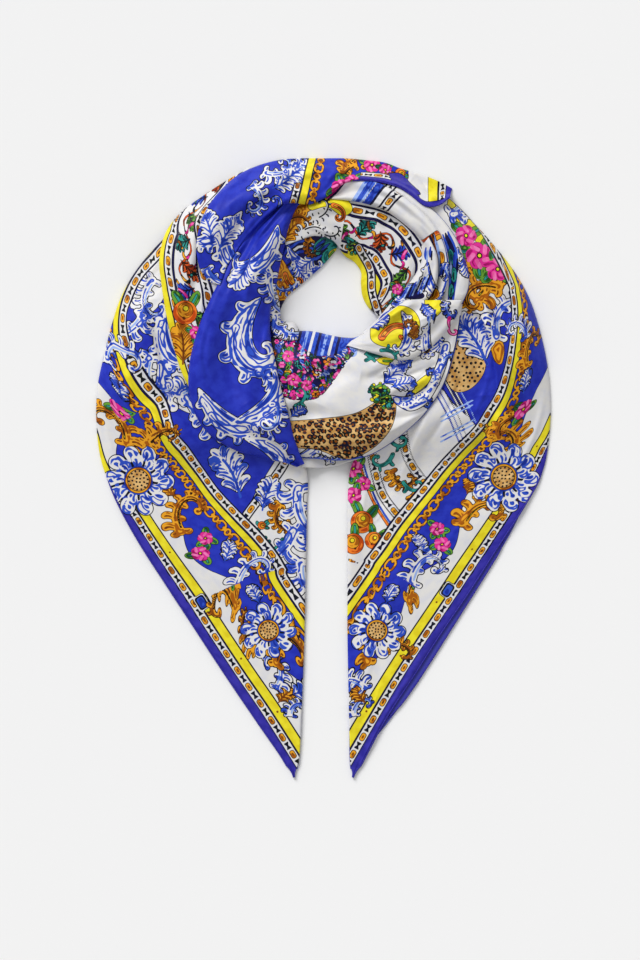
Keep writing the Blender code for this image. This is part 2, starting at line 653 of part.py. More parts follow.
def add_hem(name, edge, inside, ground, collection, colour):
    """A rolled hem along an edge: a tube just outside it, on whatever lies below."""
    tangent = np.gradient(edge[:, :2], axis=0)
    tangent /= np.linalg.norm(tangent, axis=1, keepdims=True)
    outward = np.column_stack([tangent[:, 1], -tangent[:, 0]])
    flip = ((inside[:, :2] - edge[:, :2]) * outward).sum(axis=1).mean() > 0
    outward *= -1 if flip else 1
    route = edge.copy()
    route[:, :2] += outward * (HEM_RADIUS + 1.5 * GAP)
    to_next = np.vstack([np.diff(route[:, :2], axis=0), tangent[-1:] * HEM_RADIUS])
    to_last = np.vstack([-tangent[:1] * HEM_RADIUS, -np.diff(route[:, :2], axis=0)])
    beside = [outward * HEM_RADIUS * reach for reach in (0.8, 1.5)]
    spots = [route[:, :2] + run * share + offset for run in (to_next, to_last)
             for share in np.linspace(0, 1, HEM_STEPS) for offset in beside]
    floor = np.max([ground.height(spot) for spot in spots], axis=0)
    least = np.where(floor > 0, floor + GAP, 0.05) + HEM_RADIUS
    route[:, 2] = np.maximum(edge[:, 2] - WALL / 2, least)
    route[1:-1, 2] = np.maximum(route[1:-1, 2], (route[:-2, 2] + route[2:, 2]) / 2)
    curve = bpy.data.curves.new(name, "CURVE")
    curve.dimensions = "3D"
    curve.bevel_depth = HEM_RADIUS * METRE
    curve.bevel_resolution = 1
    curve.use_fill_caps = True
    spline = curve.splines.new("POLY")
    spline.points.add(len(route) - 1)
    for point, place in zip(spline.points, route * METRE):
        point.co = (*place, 1)
    add_object(name, curve, colour, collection)


PANEL_ACROSS = np.array([0, 0.06, 0.15, 0.26, 0.38, MID, 0.62, 0.75, 0.88, 1])
DARTED_ACROSS = np.array([0, 0.05, 0.13, 0.24, 0.36, 0.44, MID, 0.53, 0.62, 0.74, 0.87, 1])

COBALT = (0.02, 0.03, 0.42)
VIOLET = (0.03, 0.025, 0.25)
CREAM = (0.82, 0.8, 0.76)
LEMON = (0.8, 0.72, 0.03)


def main():
    """Build the scarf from the table up."""
    clear_scene()
    scarf = bpy.data.collections.new("silk_square_scarf")
    bpy.context.scene.collection.children.link(scarf)
    ground = Ground()
    add_core(ground, scarf)
    add_back("tail_left_back", BACK_LEFT, ground, scarf)
    back_right = add_back("tail_right_back", BACK_RIGHT, ground, scarf)

    def cloth(name, table, count, across, rounds, colour, dart=None):
        return add_cloth(name, table, count, across, rounds, colour, ground, scarf, dart)

    left = cloth("tail_left", TAIL_LEFT, 38, PANEL_ACROSS, (0.12, 0.05), COBALT)
    right = cloth("tail_right", TAIL_RIGHT, 38, DARTED_ACROSS, (0.12, 0.05), COBALT, SHOULDER_DART)
    cloth("inner_wall_left", INNER_LEFT, 12, eased(6), (0.4, 0.3), COBALT)
    cloth("inner_band", BAND, 24, eased(8), (0.3, 0.25), CREAM)
    cloth("roll_outer", ROLL_OUTER, 22, eased(7), (0.5, 0.5), CREAM)
    cloth("roll_middle", ROLL_MIDDLE, 24, eased(7), (0.5, 0.5), CREAM)
    cloth("roll_inner", ROLL_INNER, 20, eased(7), (0.5, 0.5), CREAM)
    cloth("frieze_strand", FRIEZE, 22, eased(7), (0.35, 0.3), CREAM)
    cloth("cowl_under", COWL_UNDER, 8, eased(4), (0.4, 0.4), COBALT)
    cloth("cowl_front", COWL_FRONT, 26, eased(14), (0.16, 0.22), CREAM)
    cloth("cowl_twist", COWL_TWIST, 18, eased(8), (0.35, 0.3), LEMON)
    cloth("lip_left", LIP, 12, eased(6), (0.5, 0.5), CREAM)
    cloth("strand_left", STRAND_LEFT, 30, eased(10), (0.3, 0.3), COBALT)
    crown = cloth("crown_strand", CROWN, 34, eased(9), (0.35, 0.3), COBALT)

    add_hem("hem_left", left[:20, 0], left[:20, 1], ground, scarf, VIOLET)
    add_hem("hem_right", right[:21, 0], right[:21, 1], ground, scarf, VIOLET)
    shown = back_right[4:-2]
    edge = np.column_stack([shown[:, :2], np.full(len(shown), WALL)])
    add_hem("hem_right_back", edge, shown[:, 2:4], ground, scarf, VIOLET)
    add_hem("hem_crown", crown[:12, -1], crown[:12, -2], ground, scarf, VIOLET)


main()
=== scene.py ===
"""Silk square scarf, wound into a loop and laid flat: printed silk, rolled hems and the stage.

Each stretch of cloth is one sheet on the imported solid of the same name. Its print is painted on the
cloth as signed distances, in millimetres, to the edge of each ink. Lengths are millimetres too, on
a plan with X to the right, Y away from the tails and Z up from the table.
"""

import math
from collections import namedtuple
from functools import partial

import bmesh
import bpy
import numpy as np
from mathutils.kdtree import KDTree
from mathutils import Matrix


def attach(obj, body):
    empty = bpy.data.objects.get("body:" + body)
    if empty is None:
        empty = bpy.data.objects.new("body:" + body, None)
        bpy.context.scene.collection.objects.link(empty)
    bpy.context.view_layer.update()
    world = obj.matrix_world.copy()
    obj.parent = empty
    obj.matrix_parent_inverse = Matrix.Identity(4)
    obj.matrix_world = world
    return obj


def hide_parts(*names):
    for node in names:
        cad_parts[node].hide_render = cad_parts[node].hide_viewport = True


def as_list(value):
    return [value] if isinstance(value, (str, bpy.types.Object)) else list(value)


bl_info = {
    "name": "Silk square scarf",
    "version": (1, 0, 0),
    "blender": (4, 5, 0),
    "location": "View3D > Sidebar > Scarf",
    "description": "Printed silk square, wound into a loop and laid flat",
    "category": "Add Mesh",
}

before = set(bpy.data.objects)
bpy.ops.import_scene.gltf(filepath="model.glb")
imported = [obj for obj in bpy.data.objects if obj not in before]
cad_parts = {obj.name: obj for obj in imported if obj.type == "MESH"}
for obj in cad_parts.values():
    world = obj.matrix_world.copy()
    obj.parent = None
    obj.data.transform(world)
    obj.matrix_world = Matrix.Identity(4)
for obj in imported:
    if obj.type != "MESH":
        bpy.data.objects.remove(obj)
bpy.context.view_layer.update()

METRE = 0.001               # a millimetre, in metres
PLAN_CENTRE = (-0.1, -2.0)  # middle of the whole outline on the plan
MID = 0.5                   # where a sheet with a middle curve has it, from 0 to 1 across
CURVE_STEPS = 16            # points read on a curve between two rows of a table
FOLD_STEPS = 48             # points read along a fold
END_ROUND = 1 / 6           # share of a stretch's length over which each end sinks
TIP_TAPER = 16.0            # a tail narrows to its point over this length
TIP_LEFT = 0.2              # share of its width that the point keeps
END_LOFT = 0.35             # share of the loft left at a stretch's very end
CLEAR = 1.5                 # least height of a sheet's face over what lies under it
EASE_STEPS = 14             # rounds of smoothing that a raised place gets
SAME_SPOT = 0.25            # corners of a solid nearer than this on the plan are over one another
CELL = 1.2                  # side of a cell of the height map
MAP_HALF = 400.0            # the height map reaches this far each way
NODE_STEPS = 40             # points along each side of a solid's triangle, for the height map
TURN_UNDER = ((-0.3, -0.4), (-0.15, -0.85), (0.6, -1.1))    # folded edge: inward and up, per row
# Long waves in the cloth: height, radians a millimetre on X and on Y, and start.
WAVES = ((0.22, 0.075, 0.031, 0.4), (0.18, -0.043, 0.088, 2.1), (0.12, 0.13, -0.06, 4.0))

HEM_RADIUS = 1.1            # hand-rolled hem
HEM_SIDES = 8
HEM_TUCK = 0.9              # share of a hem's length after which it goes in under the cloth
BACK_TOP = 1.5              # height of the tails' under layers
BACK_POINTS = 220           # points along the hem of the right one
BACK_TUCK = (40, 4.5)       # how many of them go in at each end, and how far
STITCH_RADIUS = 0.22
STITCH_SIDES = 6
# Each hem that shows: its sheet, that sheet's edge column and the next one in, and the share shown.
HEMS = {
    "hem_left": ("tail_left", 0, 1, 19 / 37),
    "hem_right": ("tail_right", 0, 1, 20 / 37),
    "hem_crown": ("crown_strand", -1, -2, 11 / 33),
}

VIEW_MIDDLE = (-4.1, -13.6)         # where the camera looks at the table
TABLE_HALF = 6000.0
TABLE_DROP = 0.6                    # the table lies this far under the cloth
KEY_TURN = (-44, -35, 0)            # degrees
KEY_SPREAD = 30                     # degrees

MATCH_REACH = 20            # half the points over which the border's places are evened out
SOFT = 0.12                 # half the width of the blur at an ink's edge
FAR = 30.0                  # an ink's distance where it is nowhere near
FINEST = 0.8                # half the width of the thinnest painted line
BRUSH_PITCH = 5.4           # distance between brush marks
BEAD_PITCH = 24.0
LINK_PITCH = 22.0
BORDER = 125.0              # the printed border, from the hem to its inner line
# The border's bands, each with the distance of its outer and inner edge from the hem.
BORDER_BANDS = (
    ("navy", 7.6, 31.2), ("violet", -6, 9), ("beads", 10, 18.2), ("yellow", 20.4, 29.6),
    ("navy", 101.5, 123), ("yellow", 102.6, 109.6), ("beads", 112.2, 121.2), ("chain", 89, 101),
)

# The columns of the tables. A stretch's row has its first edge a, its second edge b and, in a tail,
# the middle curve between them. A fold runs from a through via to b. Headings are in degrees.
Strip = namedtuple("Strip", "a_x a_y b_x b_y loft")
Panel = namedtuple("Panel", "a_x a_y mid_x mid_y b_x b_y loft")
Outline = namedtuple("Outline", "a_x a_y b_x b_y")
Fold = namedtuple("Fold", "a_x a_y via_x via_y b_x b_y width height")
Dart = namedtuple("Dart", "low full high height width")
Place = namedtuple("Place", "x y")
Guide = namedtuple("Guide", "x y from_hem")
Motif = namedtuple("Motif", "kind x y size heading curl")


def table_of(kind, text):
    """A table whose rows have the columns of one kind, from a text with semicolons between rows."""
    return [kind(*(word if word[0].isalpha() else float(word) for word in row.split()))
            for row in text.split(";")]


def numbers(text):
    """Rows of plain coordinates from a text, with semicolons between rows."""
    return np.array([row.split() for row in text.split(";")], float)


# ---------------------------------------------------------------------------------------------
# The plan: edge curves of each stretch, its loft, and its largest folds, as its solid has them.

BACK_RIGHT = table_of(Outline, """
    35 -363 32 -362; 46 -345 31 -344; 76 -308 31 -308; 111 -260 31 -260; 155 -191 31 -196;
    196 -126 31 -136; 223 -82 31 -88; 238 -52 31 -46""")
TAIL_LEFT = table_of(Panel, """
    -37 -373 -35 -372 -32 -371 0; -49 -349 -38 -348 -29 -347 0.5; -80 -304 -52 -306 -27 -306 1.5;
    -118 -248 -69 -256 -25 -258 2; -154 -193 -76 -198 -23 -198 2.5; -190 -138 -76 -148 -22 -148 3;
    -222 -88 -80 -102 -21 -97 3; -248 -40 -103 -70 -20 -46 3; -266 6 -134 -30 -21 -4 3;
    -272 50 -163 6 -46 32 4; -271 95 -189 50 -74 74 5; -263 134 -208 95 -93 116 6;
    -254 170 -225 140 -105 158 6; -243 203 -230 186 -115 200 5; -225 235 -213 224 -119 239 4;
    -199 266 -187 258 -115 272 3; -160 304 -151 296 -100 301 1""")
TAIL_RIGHT = table_of(Panel, """
    37 -373 35 -372 32 -371 0; 49 -349 40 -348 32 -347 0.5; 73 -304 52 -306 31 -306 1.5;
    106 -253 68 -258 30 -258 2; 140 -200 73 -205 29 -200 2.5; 174 -150 73 -160 29 -148 3;
    208 -97 86 -107 29 -97 3; 239 -49 122 -54 29 -46 3; 263 -4 161 -1 34 2 3; 271 44 195 44 58 44 4;
    272 86 208 85 82 83 5; 267 130 206 121 98 121 6; 257 172 197 155 109 160 6;
    244 208 187 179 116 196 5; 224 241 169 200 121 227 4; 197 274 158 239 121 258 3;
    166 308 140 284 108 290 2; 140 331 118 312 98 312 1""")
INNER_LEFT = table_of(Strip, """
    20 277 15 260 2; -4 284 -2 241 3; -26 277 -19 226 4; -44 263 -32 215 4; -55 241 -44 204 4;
    -62 220 -51 191 3; -65 200 -53 180 2""")
BAND = table_of(Strip, """
    -55 298 -45 265 2; -37 316 -28 271 3; -10 326 -10 276 4; 15 323 11 271 4; 41 320 25 254 4;
    70 313 37 246 5; 98 299 45 234 5; 121 272 45 220 5; 130 246 47 205 5; 125 218 53 193 4;
    106 200 61 185 3; 86 188 67 178 2""")
ROLL_OUTER = table_of(Strip, """
    58 344 53 335 2; 82 340 76 324 6; 103 329 93 311 9; 124 312 112 295 11; 143 294 129 278 12;
    158 272 140 258 13; 167 251 143 238 13; 173 229 143 218 12; 172 211 138 202 9;
    165 194 130 184 6; 158 178 128 170 3""")
ROLL_MIDDLE = table_of(Strip, """
    17 337 3 320 3; 34 343 26 318 7; 58 341 50 314 10; 82 330 73 306 12; 103 316 92 293 13;
    122 299 110 277 14; 137 280 123 262 14; 146 258 128 244 14; 149 236 130 223 13;
    146 214 122 205 10; 137 193 112 187 6; 130 178 108 174 3""")
ROLL_INNER = table_of(Strip, """
    125 272 117 263 3; 134 253 117 246 7; 136 234 110 230 10; 133 215 100 216 11; 121 197 88 203 10;
    99 186 76 190 8; 80 172 64 176 6; 61 156 50 163 5; 41 146 34 151 3""")
FRIEZE = table_of(Strip, """
    -88 359 -74 330 1; -117 343 -88 311 3; -146 324 -100 289 5; -171 305 -111 265 6;
    -189 280 -117 241 7; -196 248 -122 217 8; -193 216 -127 192 8; -187 180 -134 163 7;
    -179 145 -141 136 6; -169 113 -145 104 4; -157 88 -147 84 2""")
COWL_UNDER = table_of(Strip, """
    -33 32 -25 0 1; -16 30 -7 -1 1; 3 28 13 1 1; 22 28 29 6 1; 39 30 46 11 1""")
COWL_FRONT = table_of(Strip, """
    97 197 165 193 4; 77 184 161 163 8; 58 168 154 130 11; 41 156 142 96 13; 26 155 121 64 14;
    8 158 89 35 14; -10 162 55 14 13; -28 163 21 8 11; -44 161 -9 10 8; -60 156 -34 12 6;
    -80 148 -60 18 3""")
COWL_TWIST = table_of(Strip, """
    98 198 164 198 4; 83 187 158 180 7; 68 175 143 158 9; 53 163 124 140 9; 41 155 97 127 8;
    33 150 67 133 5; 28 145 44 140 2""")
LIP = table_of(Strip, """
    -67 222 -60 219 1; -68 205 -54 202 3; -67 186 -52 186 5; -64 169 -51 176 7; -56 156 -45 174 8;
    -43 151 -35 173 6; -31 152 -29 163 3""")
STRAND_LEFT = table_of(Strip, """
    -40 325 -23 323 2; -62 304 -35 304 5; -81 287 -43 282 8; -97 269 -47 263 10;
    -110 250 -52 241 11; -121 227 -57 217 12; -133 203 -62 198 12; -145 176 -64 176 13;
    -154 148 -63 152 13; -160 119 -58 128 13; -160 90 -53 104 12; -152 61 -47 80 11;
    -134 37 -41 59 10; -105 20 -37 40 8; -74 11 -32 25 6; -47 5 -27 12 4; -32 0 -23 4 2""")
CROWN = table_of(Strip, """
    154 334 151 323 0.5; 139 342 137 313 2; 122 349 121 312 3; 106 354 104 325 4; 92 358 88 335 5;
    73 365 64 341 6; 49 368 41 342 7; 25 370 22 336 8; -2 370 4 322 9; -28 370 -16 313 9;
    -53 368 -34 314 9; -79 361 -51 311 9; -103 349 -69 298 9; -123 330 -85 282 8;
    -139 307 -98 266 7; -148 283 -107 252 6; -151 258 -115 240 5; -146 234 -119 228 4;
    -135 220 -123 217 2""")

# The largest folds of each stretch: ridges, and troughs with a height below zero.
FOLDS = {
    "tail_left": table_of(Fold, """
        -194 246 -206 215 -235 193 8 -4.5; -205 200 -196 150 -175 100 7 -7.5;
        -223 194 -218 138 -189 78 10 6; -169 95 -148 42 -100 -6 10 -6;
        -208 83 -175 42 -131 -4 11 4.5; -141 -4 -105 -88 -57 -181 14 4;
        -244 6 -208 -88 -141 -193 17 -2.25; -74 -23 -47 -112 -33 -232 11 -2.25"""),
    "tail_right": table_of(Fold, """
        171 193 185 146 193 86 8 -9; 135 83 113 32 85 -30 11 6; 94 35 77 -18 51 -94 10 -4.5;
        212 277 238 200 248 100 12 4.5; 178 289 200 215 221 155 8 -4.5; 149 -4 106 -94 58 -208 14 4;
        260 32 212 -76 140 -184 17 -2.25; 73 -30 51 -112 39 -232 11 -2.25"""),
    "inner_wall_left": table_of(Fold, """
        -28 272 -35 246 -50 210 7 -4.5; -2 268 -21 246 -38 222 7 4"""),
    "inner_band": table_of(Fold, """
        -31 299 8 311 53 305 7 6; 17 269 46 246 58 198 7 -6; 34 304 89 282 106 229 11 -4.5;
        77 289 101 260 92 215 8 4.5"""),
    "roll_outer": table_of(Fold, """
        94 323 140 284 155 244 7 -5; 147 277 161 246 164 205 7 -3"""),
    "roll_middle": table_of(Fold, """
        26 330 86 313 128 270 7 -4.5; 142 258 140 224 130 200 7 -5"""),
    "roll_inner": table_of(Fold, """
        129 253 119 217 87 194 7 -7"""),
    "frieze_strand": table_of(Fold, """
        -98 347 -165 292 -172 210 7 -6; -124 323 -153 277 -153 200 8 6;
        -136 265 -158 200 -163 140 7 -6"""),
    "cowl_front": table_of(Fold, """
        133 124 94 107 44 107 7 -9; 128 115 101 100 75 88 7 6; 133 100 109 85 68 74 7 -9;
        27 146 11 114 -7 76 11 -6; 128 78 75 43 -7 32 13 7.5; -47 138 -31 114 -19 80 16 5;
        159 186 149 150 140 112 7 -7.5; 116 76 77 56 8 59 7 -5"""),
    "cowl_twist": table_of(Fold, """
        142 191 99 158 46 146 11 6; 130 198 98 178 58 157 7 -6; 155 191 128 161 89 136 7 -6"""),
    "lip_left": table_of(Fold, """
        -64 200 -59 174 -40 164 7 4.5"""),
    "strand_left": table_of(Fold, """
        -40 304 -74 246 -107 160 12 7; -35 294 -56 224 -74 152 7 -7.5;
        -59 126 -74 68 -43 20 10 -7.5; -129 167 -143 104 -105 42 13 7;
        -95 200 -115 140 -91 76 11 -6; -122 76 -93 42 -47 20 7 -5"""),
    "crown_strand": table_of(Fold, """
        37 356 15 338 -7 318 7 -7.5; -23 365 -37 344 -44 318 7 -7.5; 10 362 -40 347 -100 304 11 7;
        -47 325 -88 301 -119 244 7 -7; -98 335 -127 296 -134 241 10 6;
        104 342 121 332 140 325 7 -4.5; -64 364 -105 332 -136 277 7 -4.5"""),
}

# The pleat at the right shoulder: the border side stands above the field side of the middle curve.
# It opens from low to full on the plan's Y and closes at high.
SHOULDER_DART = Dart(low=66, full=128, high=262, height=13.0, width=34.0)

# Finer folds that only the cloth has.
CREASES = {
    "crown_strand": table_of(Fold, """
        -136 316 -112 334 -86 349 2.6 1.4; -94 349 -90 338 -80 325 2.6 -1.6;
        -38 336 -31 322 -22 309 3.2 -2.6; -28 343 -20 328 -12 312 2.8 1.8;
        -58 330 -48 322 -38 312 2.6 1.6; -74 316 -92 296 -104 262 3 1.6;
        -66 322 -86 312 -110 284 2.8 -1.8; 0 372 -6 350 -16 326 3.2 -1.6; 16 370 12 352 0 330 3 1.4;
        36 366 60 356 96 338 3.2 1.8; 28 350 52 348 84 338 2.8 -1.8;
        -142 284 -146 262 -138 240 3 -1.6; 110 350 122 336 124 318 2.6 -1.8;
        -44 324 -79 292 -116 239 3.4 -3.2"""),
    "strand_left": table_of(Fold, """
        -40 312 -62 286 -84 262 3 -2; -44 296 -52 262 -58 226 2.8 1.8;
        -62 296 -84 264 -100 226 3 1.8; -92 262 -106 236 -116 206 2.8 -1.8;
        -72 252 -88 222 -92 186 3.2 1.6; -58 212 -62 186 -60 160 2.6 -1.8;
        -66 170 -70 140 -62 112 3 1.6; -134 168 -142 126 -128 86 3.2 -1.6;
        -148 92 -126 52 -84 26 3.4 1.8; -60 92 -52 62 -40 36 2.8 1.8;
        -88 60 -66 38 -40 22 3 1.8"""),
    "inner_band": table_of(Fold, """
        -42 306 -20 314 0 314 2.6 -1.8; -30 288 -8 284 14 276 2.8 1.6; 48 312 78 300 100 276 2.8 -2;
        60 300 86 280 98 250 2.6 1.6; 42 268 56 242 62 214 2.8 1.8;
        112 268 112 240 98 208 2.6 -2.2"""),
    "roll_outer": table_of(Fold, """
        76 336 106 318 138 286 2.8 1.8; 110 306 136 276 146 236 2.6 -2.2;
        150 280 168 246 168 206 2.8 -1.8; 148 268 156 236 148 194 4.6 -7.5"""),
    "roll_middle": table_of(Fold, """
        20 322 60 322 96 300 2.8 2; 44 340 84 326 116 296 2.6 -2; 104 296 130 268 134 232 2.6 1.8;
        130 264 134 232 124 192 4 -6.5"""),
    "roll_inner": table_of(Fold, """
        124 262 130 232 112 204 2.8 2; 118 236 104 208 78 188 2.6 1.8;
        116 204 92 190 60 166 2.6 -2"""),
    "cowl_front": table_of(Fold, """
        28 158 10 128 -14 96 3.4 2.2; 14 150 2 126 -18 104 3 -1.8; 52 105 86 121 126 132 3.4 -3.2;
        56 118 92 134 134 144 3.2 2.4; 64 94 92 108 126 122 3.4 2.4; 80 84 106 99 136 124 3.2 -3.4;
        88 77 121 84 147 130 3.2 2.4; 136 84 112 64 84 58 2.8 -1.8; 152 160 146 132 136 98 2.8 2;
        158 176 156 146 148 122 2.6 -1.8; 110 62 76 40 30 26 3 1.8; 60 34 30 20 -14 22 2.8 -1.8;
        -50 150 -44 110 -34 66 3.2 1.6; -60 120 -48 76 -36 40 3 -1.8"""),
    "cowl_twist": table_of(Fold, """
        156 194 118 176 74 162 2.6 1.8; 146 180 112 158 70 144 2.6 -2;
        128 160 100 142 60 138 2.6 1.8; 112 196 84 182 56 164 2.6 1.6"""),
    "frieze_strand": table_of(Fold, """
        -92 350 -140 312 -156 254 2.8 1.6; -108 336 -140 296 -142 236 2.6 -1.8;
        -180 280 -188 236 -176 176 3 -1.6; -146 230 -146 180 -154 120 2.6 1.8;
        -172 200 -172 150 -158 100 2.6 1.6"""),
    "tail_left": table_of(Fold, """
        -236 214 -240 176 -222 128 3.2 1.8; -212 224 -212 170 -190 116 3 2;
        -196 160 -186 110 -150 62 3.2 -2; -224 110 -196 52 -148 10 3.2 -1.6;
        -160 60 -130 18 -84 -24 3.4 1.6; -118 20 -96 -30 -60 -84 3.4 -1.4;
        -64 10 -44 -50 -30 -130 3.4 1.4; -262 60 -246 0 -206 -62 3.6 1.6;
        -190 -40 -150 -110 -100 -184 3.8 1.2; -96 -130 -70 -196 -46 -262 3.8 1"""),
    "tail_right": table_of(Fold, """
        214 240 222 190 206 140 3.2 -1.8; 184 260 196 210 190 160 3 1.8;
        196 150 196 104 176 60 3 1.8; 166 120 150 70 118 22 3.2 -1.8; 130 74 104 20 80 -40 3.4 1.4;
        60 30 50 -30 38 -96 3.4 1.4; 264 90 246 24 204 -36 3.6 1.6; 220 20 176 -50 130 -116 3.8 1.2;
        92 -130 70 -196 48 -262 3.8 1"""),
}

# ---------------------------------------------------------------------------------------------
# The print's own tables: the border's outer and inner guides on the plan, and the motifs. Those of
# a tail's border are placed along the hem and in from it, and all others on the plan.

OUTER_LEFT = table_of(Guide, """
    -37 -373 0; -80 -304 0; -118 -248 0; -190 -138 0; -222 -88 0; -240 -55 4; -256 -28 16;
    -266 6 25; -272 50 32; -271 95 56; -263 134 84; -254 170 100; -243 203 108; -225 235 110;
    -199 266 110; -160 304 118""")
BAND_LEFT = table_of(Place, """
    150 -397; -24.1 -154.4; -39.6 -124.7; -53.8 -100.7; -73.6 -76.6; -99.1 -51.1; -123.1 -25.7;
    -141.5 -0.2; -158.5 25.3; -174 45; -185.4 81.6; -204.6 106.8; -220.2 133.2; -231 158.4;
    -233.4 180; -227.4 199.2; -215.4 224.4; -192.6 248.4; -150 290""")
OUTER_RIGHT = table_of(Guide, """
    37 -373 0; 106 -253 0; 174 -150 0; 239 -49 0; 263 -4 0; 269 20 6; 271 44 20; 272 86 40;
    267 130 54; 257 172 68; 244 208 86; 224 241 104; 197 274 116; 166 308 122; 140 331 124""")
BAND_RIGHT = table_of(Place, """
    -145 -382; 29 -138.8; 44.6 -113.4; 61.6 -90.7; 78.6 -65.3; 95.5 -44; 116.8 -18.6; 135.1 4.1;
    154.9 25.3; 177.6 47.9; 189.9 67; 204.5 91.7; 214.8 124.8; 221 157.8; 223.1 182.6; 221 207.4;
    214.8 223.9; 175.8 302; 150 330""")

TAIL_LEFT_BORDER = table_of(Motif, """
    blue_scroll 66 34 16 30 3; gold_feather 84 30 22 60 0.6; blue_scroll 100 38 22 70 -3.2;
    gold_scroll 146 44 20 340 3; jewel 236 22 10 0 0; jewel 404 22 10 0 0; feather 88 44 30 90 0.6;
    gold_scroll 118 52 24 60 3; gold_scroll 186 50 30 20 -3.4; blossom 206 70 7 0 0.5;
    blue_scroll 226 64 32 30 3.6; feather 268 66 28 60 -0.6; blossom 292 54 9 40 0.5;
    blossom 306 70 8 10 0.5; gold_scroll 322 50 34 10 3.2; gold_feather 366 72 26 -10 -0.7;
    feather 378 46 26 20 0.7; gold_scroll 462 60 34 20 -3.2; gold_scroll 470 84 26 40 3.2;
    blossom 512 72 10 30 0.5; feather 528 84 26 10 0.6; blue_scroll 566 84 30 20 3.4;
    gold_scroll 610 84 26 20 -3.4""")
TAIL_RIGHT_BORDER = table_of(Motif, """
    blue_scroll 66 34 16 30 -3; gold_feather 84 30 22 60 -0.6; blue_scroll 100 38 22 70 3.2;
    gold_scroll 148 44 20 340 -3; jewel 250 22 10 0 0; jewel 392 22 10 0 0;
    feather 92 46 30 80 -0.6; gold_scroll 122 50 24 60 -3; gold_scroll 190 52 30 20 3.4;
    blossom 212 68 7 0 0.5; blue_scroll 232 60 32 30 -3.6; feather 270 64 28 50 0.6;
    blossom 296 58 9 10 0.5; blossom 310 74 8 50 0.5; gold_scroll 326 52 34 10 -3.2;
    gold_feather 362 70 26 10 0.7; feather 384 48 26 20 -0.7; gold_scroll 462 58 34 20 3.2;
    gold_scroll 474 84 26 40 -3.2; blossom 516 76 9 30 0.5; feather 534 84 26 10 -0.6;
    gold_scroll 566 88 26 20 -3.4; blue_scroll 600 92 26 20 3.4""")
TAIL_LEFT_ROUND = table_of(Motif, """
    rosette -222 -16 36 0 0; rosette -66 -196 29 0 0; feather -76 -166 24 110 0.6""")
TAIL_RIGHT_ROUND = table_of(Motif, """
    rosette 216 -12 36 0 0; rosette 64 -196 29 0 0; feather 74 -166 24 70 -0.6""")
TAIL_LEFT_FIELD = table_of(Motif, """
    feather -98 -42 62 104 0.7; feather -74 -56 40 80 -0.6; plume -186 196 40 252 2.2;
    plume -196 134 44 286 -2.2; plume -170 96 40 300 2.4; blue_scroll -148 62 44 -30 3.2;
    blue_scroll -176 84 34 40 -3.2; blue_scroll -206 134 34 250 3.4;
    blue_scroll -214 182 34 240 -3.4; blue_scroll -202 226 30 230 3; tendril -64 -66 22 200 3.6;
    tendril -48 -84 20 250 -3.6; gold_scroll -52 -44 20 240 3; fruit -74 -70 4.5 0 0.4;
    blue_scroll -30 -20 46 262 3; blue_scroll -34 -72 44 250 -3.2;
    blue_scroll -26 -110 34 262 3.2""")
TAIL_RIGHT_FIELD = table_of(Motif, """
    tendril 76 44 22 280 3.6; tendril 84 18 22 250 -3.6; gold_scroll 80 -4 20 290 3;
    tendril 94 -16 20 300 3.6; gold_scroll 104 -34 18 310 -3; blossom 38 24 8 60 0.5;
    blossom 36 -2 10 20 0.5; blossom 48 -20 8 90 0.5; blossom 36 -34 9 40 0.5;
    fruit 46 -66 13 70 0.4; fruit 36 -92 12 110 0.4; fruit 60 -88 10 60 0.4;
    feather 198 116 66 112 0.6; blue_scroll 206 150 36 100 -3; gold_scroll 180 196 36 40 3.2;
    gold_scroll 214 214 32 160 3.2; gold_feather 160 214 34 80 -0.6; blossom 186 252 15 30 0.5;
    blossom 208 236 13 80 0.5; blossom 170 276 12 0 0.5; blue_scroll 150 300 32 30 3;
    blue_scroll 176 298 26 100 -3""")
FRIEZE_MOTIFS = table_of(Motif, """
    fruit -165 184 14 80 0.4; gold_feather -168 118 46 85 0.5; blossom -152 160 7 20 0.5""")
CROWN_SCROLLS = table_of(Motif, """
    blue_scroll -72 352 24 340 3.4; blue_scroll -86 336 22 320 -3.4; feather -64 330 34 20 0.9;
    blue_scroll -48 352 22 20 3.4; feather -50 340 34 30 0.6; blue_scroll -36 360 18 10 -3.4;
    feather -30 326 24 60 0.6; volute_blue -54 306 8 60 2.6; plume -112 300 36 250 2.4;
    plume -96 306 34 236 -1.5; feather -126 252 44 72 -0.8; feather -132 262 40 96 0.6;
    blue_scroll -140 236 24 300 3""")
CROWN_FLOWERS = table_of(Motif, """
    gold_scroll 24 352 24 70 -3.4; gold_scroll 40 362 18 200 3.4; blossom 58 362 9 20 0.5;
    blossom 74 356 7 20 0.5; fruit 92 352 6 0 0.5; gold_feather 66 348 20 0 -0.5;
    blossom 20 332 10 70 0.5; blossom 34 340 8 10 0.5""")
STRAND_MOTIFS = table_of(Motif, """
    plume -54 290 40 262 -2.6; feather -86 252 40 250 -0.7; blue_scroll -64 232 28 262 3.2;
    plume -72 204 58 224 4.2; volute_blue -66 120 10 262 -3; feather -72 112 30 300 0.8;
    plume -150 96 44 296 2; plume -112 52 50 10 2.8; plume -96 34 34 350 -2.2;
    blue_scroll -56 78 24 290 -3.2""")
BAND_MOTIFS = table_of(Motif, """
    gold_feather -52 262 40 62 -0.6; gold_scroll -46 292 18 40 -3.2; grey_scroll -30 276 20 42 -2.8;
    grey_scroll -14 296 17 10 2.8; grey_scroll -4 282 14 320 2.8; volute 10 312 11 350 -2.8;
    leaflet_teal 24 276 18 320 0.6; leaflet_yellow 28 268 16 300 -0.6; bud 36 262 8 280 0;
    blossom 88 212 6 0 0.5; gold_scroll 62 196 12 300 3""")
